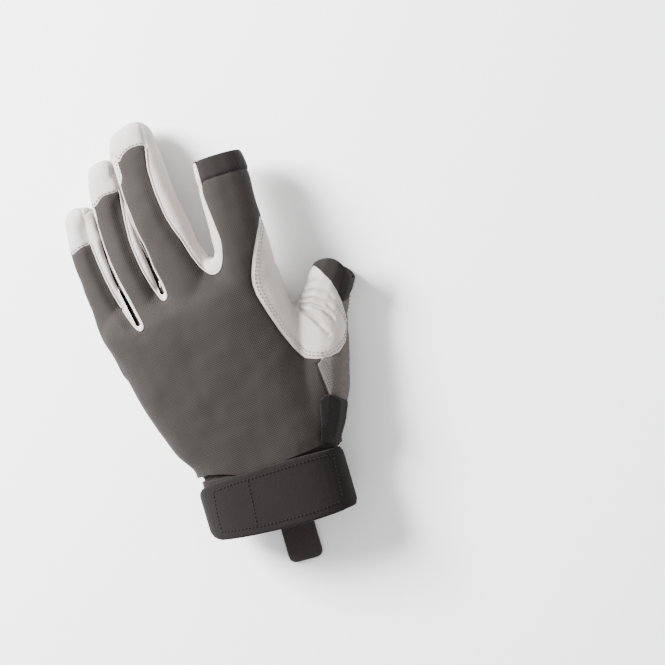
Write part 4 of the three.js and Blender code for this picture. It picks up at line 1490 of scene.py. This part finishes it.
class GLOVE_OT_stage(bpy.types.Operator):
    """Lay the floor, hang the lights and set up the camera"""

    bl_idname = "glove.stage"
    bl_label = "Stage"

    def execute(self, context):
        bpy.ops.object.select_all(action="DESELECT")
        bpy.ops.mesh.primitive_plane_add(size=FLOOR_SIDE, location=(0, 0, -FLOOR_DROP))
        floor = context.active_object
        floor.name = "floor"
        # Uncoated white paper on a roll: it takes soft shadows and gives no reflection.
        paper = bpy.data.materials.new("white_paper_sweep")
        paper.use_nodes = True
        shader = paper.node_tree.nodes["Principled BSDF"]
        shader.inputs["Base Color"].default_value = FLOOR_WHITE
        shader.inputs["Roughness"].default_value = FLOOR_ROUGHNESS
        floor.data.materials.append(paper)
        world = bpy.data.worlds.new("studio")
        world.use_nodes = True
        background = world.node_tree.nodes["Background"]
        background.inputs["Color"].default_value = (1, 1, 1, 1)
        background.inputs["Strength"].default_value = STUDIO
        context.scene.world = world

        back, across, along = Vector(BACK), Vector(ACROSS), Vector((0, 1, 0))
        right = across * math.cos(CAMERA_ROLL) - along * math.sin(CAMERA_ROLL)
        up = across * math.sin(CAMERA_ROLL) + along * math.cos(CAMERA_ROLL)
        target = Vector(CAMERA_TARGET) * MM
        data = bpy.data.cameras.new("camera")
        data.lens = CAMERA_LENS
        camera = bpy.data.objects.new("camera", data)
        context.collection.objects.link(camera)
        distance = CAMERA_WIDTH * MM * data.lens / data.sensor_width
        camera.location = target + back * distance
        columns = (right, up, back)
        turn = camera.rotation_euler.to_matrix()
        for k, column in enumerate(columns):
            for row in range(3):
                turn[row][k] = column[row]
        camera.rotation_euler = turn.to_euler()
        context.scene.camera = camera
        for name, place, size, power in LIGHTS:
            lamp = bpy.data.lights.new(name, "AREA")
            lamp.size = size
            lamp.energy = power
            made = bpy.data.objects.new(name, lamp)
            context.collection.objects.link(made)
            made.location = target + right * place[0] + up * place[1] + back * place[2]
            made.rotation_euler = (made.location - target).to_track_quat("Z", "Y").to_euler()
        return {"FINISHED"}


class GLOVE_PT_panel(bpy.types.Panel):
    """The glove's sizes, colours and steps, in the sidebar"""

    bl_idname = "GLOVE_PT_panel"
    bl_label = "Climbing Glove"
    bl_space_type = "VIEW_3D"
    bl_region_type = "UI"
    bl_category = "Glove"

    def draw(self, context):
        layout = self.layout
        for group in (context.scene.glove_sizes, context.scene.glove_colours):
            for key in group.bl_rna.properties.keys():
                if key not in ("rna_type", "name"):
                    layout.prop(group, key)
        for operator in OPERATORS:
            layout.operator(operator.bl_idname)


OPERATORS = (
    GLOVE_OT_panels,
    GLOVE_OT_piping,
    GLOVE_OT_wrist,
    GLOVE_OT_stitching,
    GLOVE_OT_stage,
)
CLASSES = (GloveSizes, GloveColours, *OPERATORS, GLOVE_PT_panel)


def register():
    """Adds the glove's classes, and its settings to the scene."""
    for each in CLASSES:
        bpy.utils.register_class(each)
    bpy.types.Scene.glove_sizes = bpy.props.PointerProperty(type=GloveSizes)
    bpy.types.Scene.glove_colours = bpy.props.PointerProperty(type=GloveColours)


def unregister():
    """Takes them away again."""
    del bpy.types.Scene.glove_colours
    del bpy.types.Scene.glove_sizes
    for each in reversed(CLASSES):
        bpy.utils.unregister_class(each)


def main():
    """Builds the glove."""
    register()
    bpy.ops.glove.panels()
    bpy.ops.glove.piping()
    bpy.ops.glove.wrist()
    bpy.ops.glove.stitching()
    bpy.ops.glove.stage()


if __name__ == "__main__":
    main()
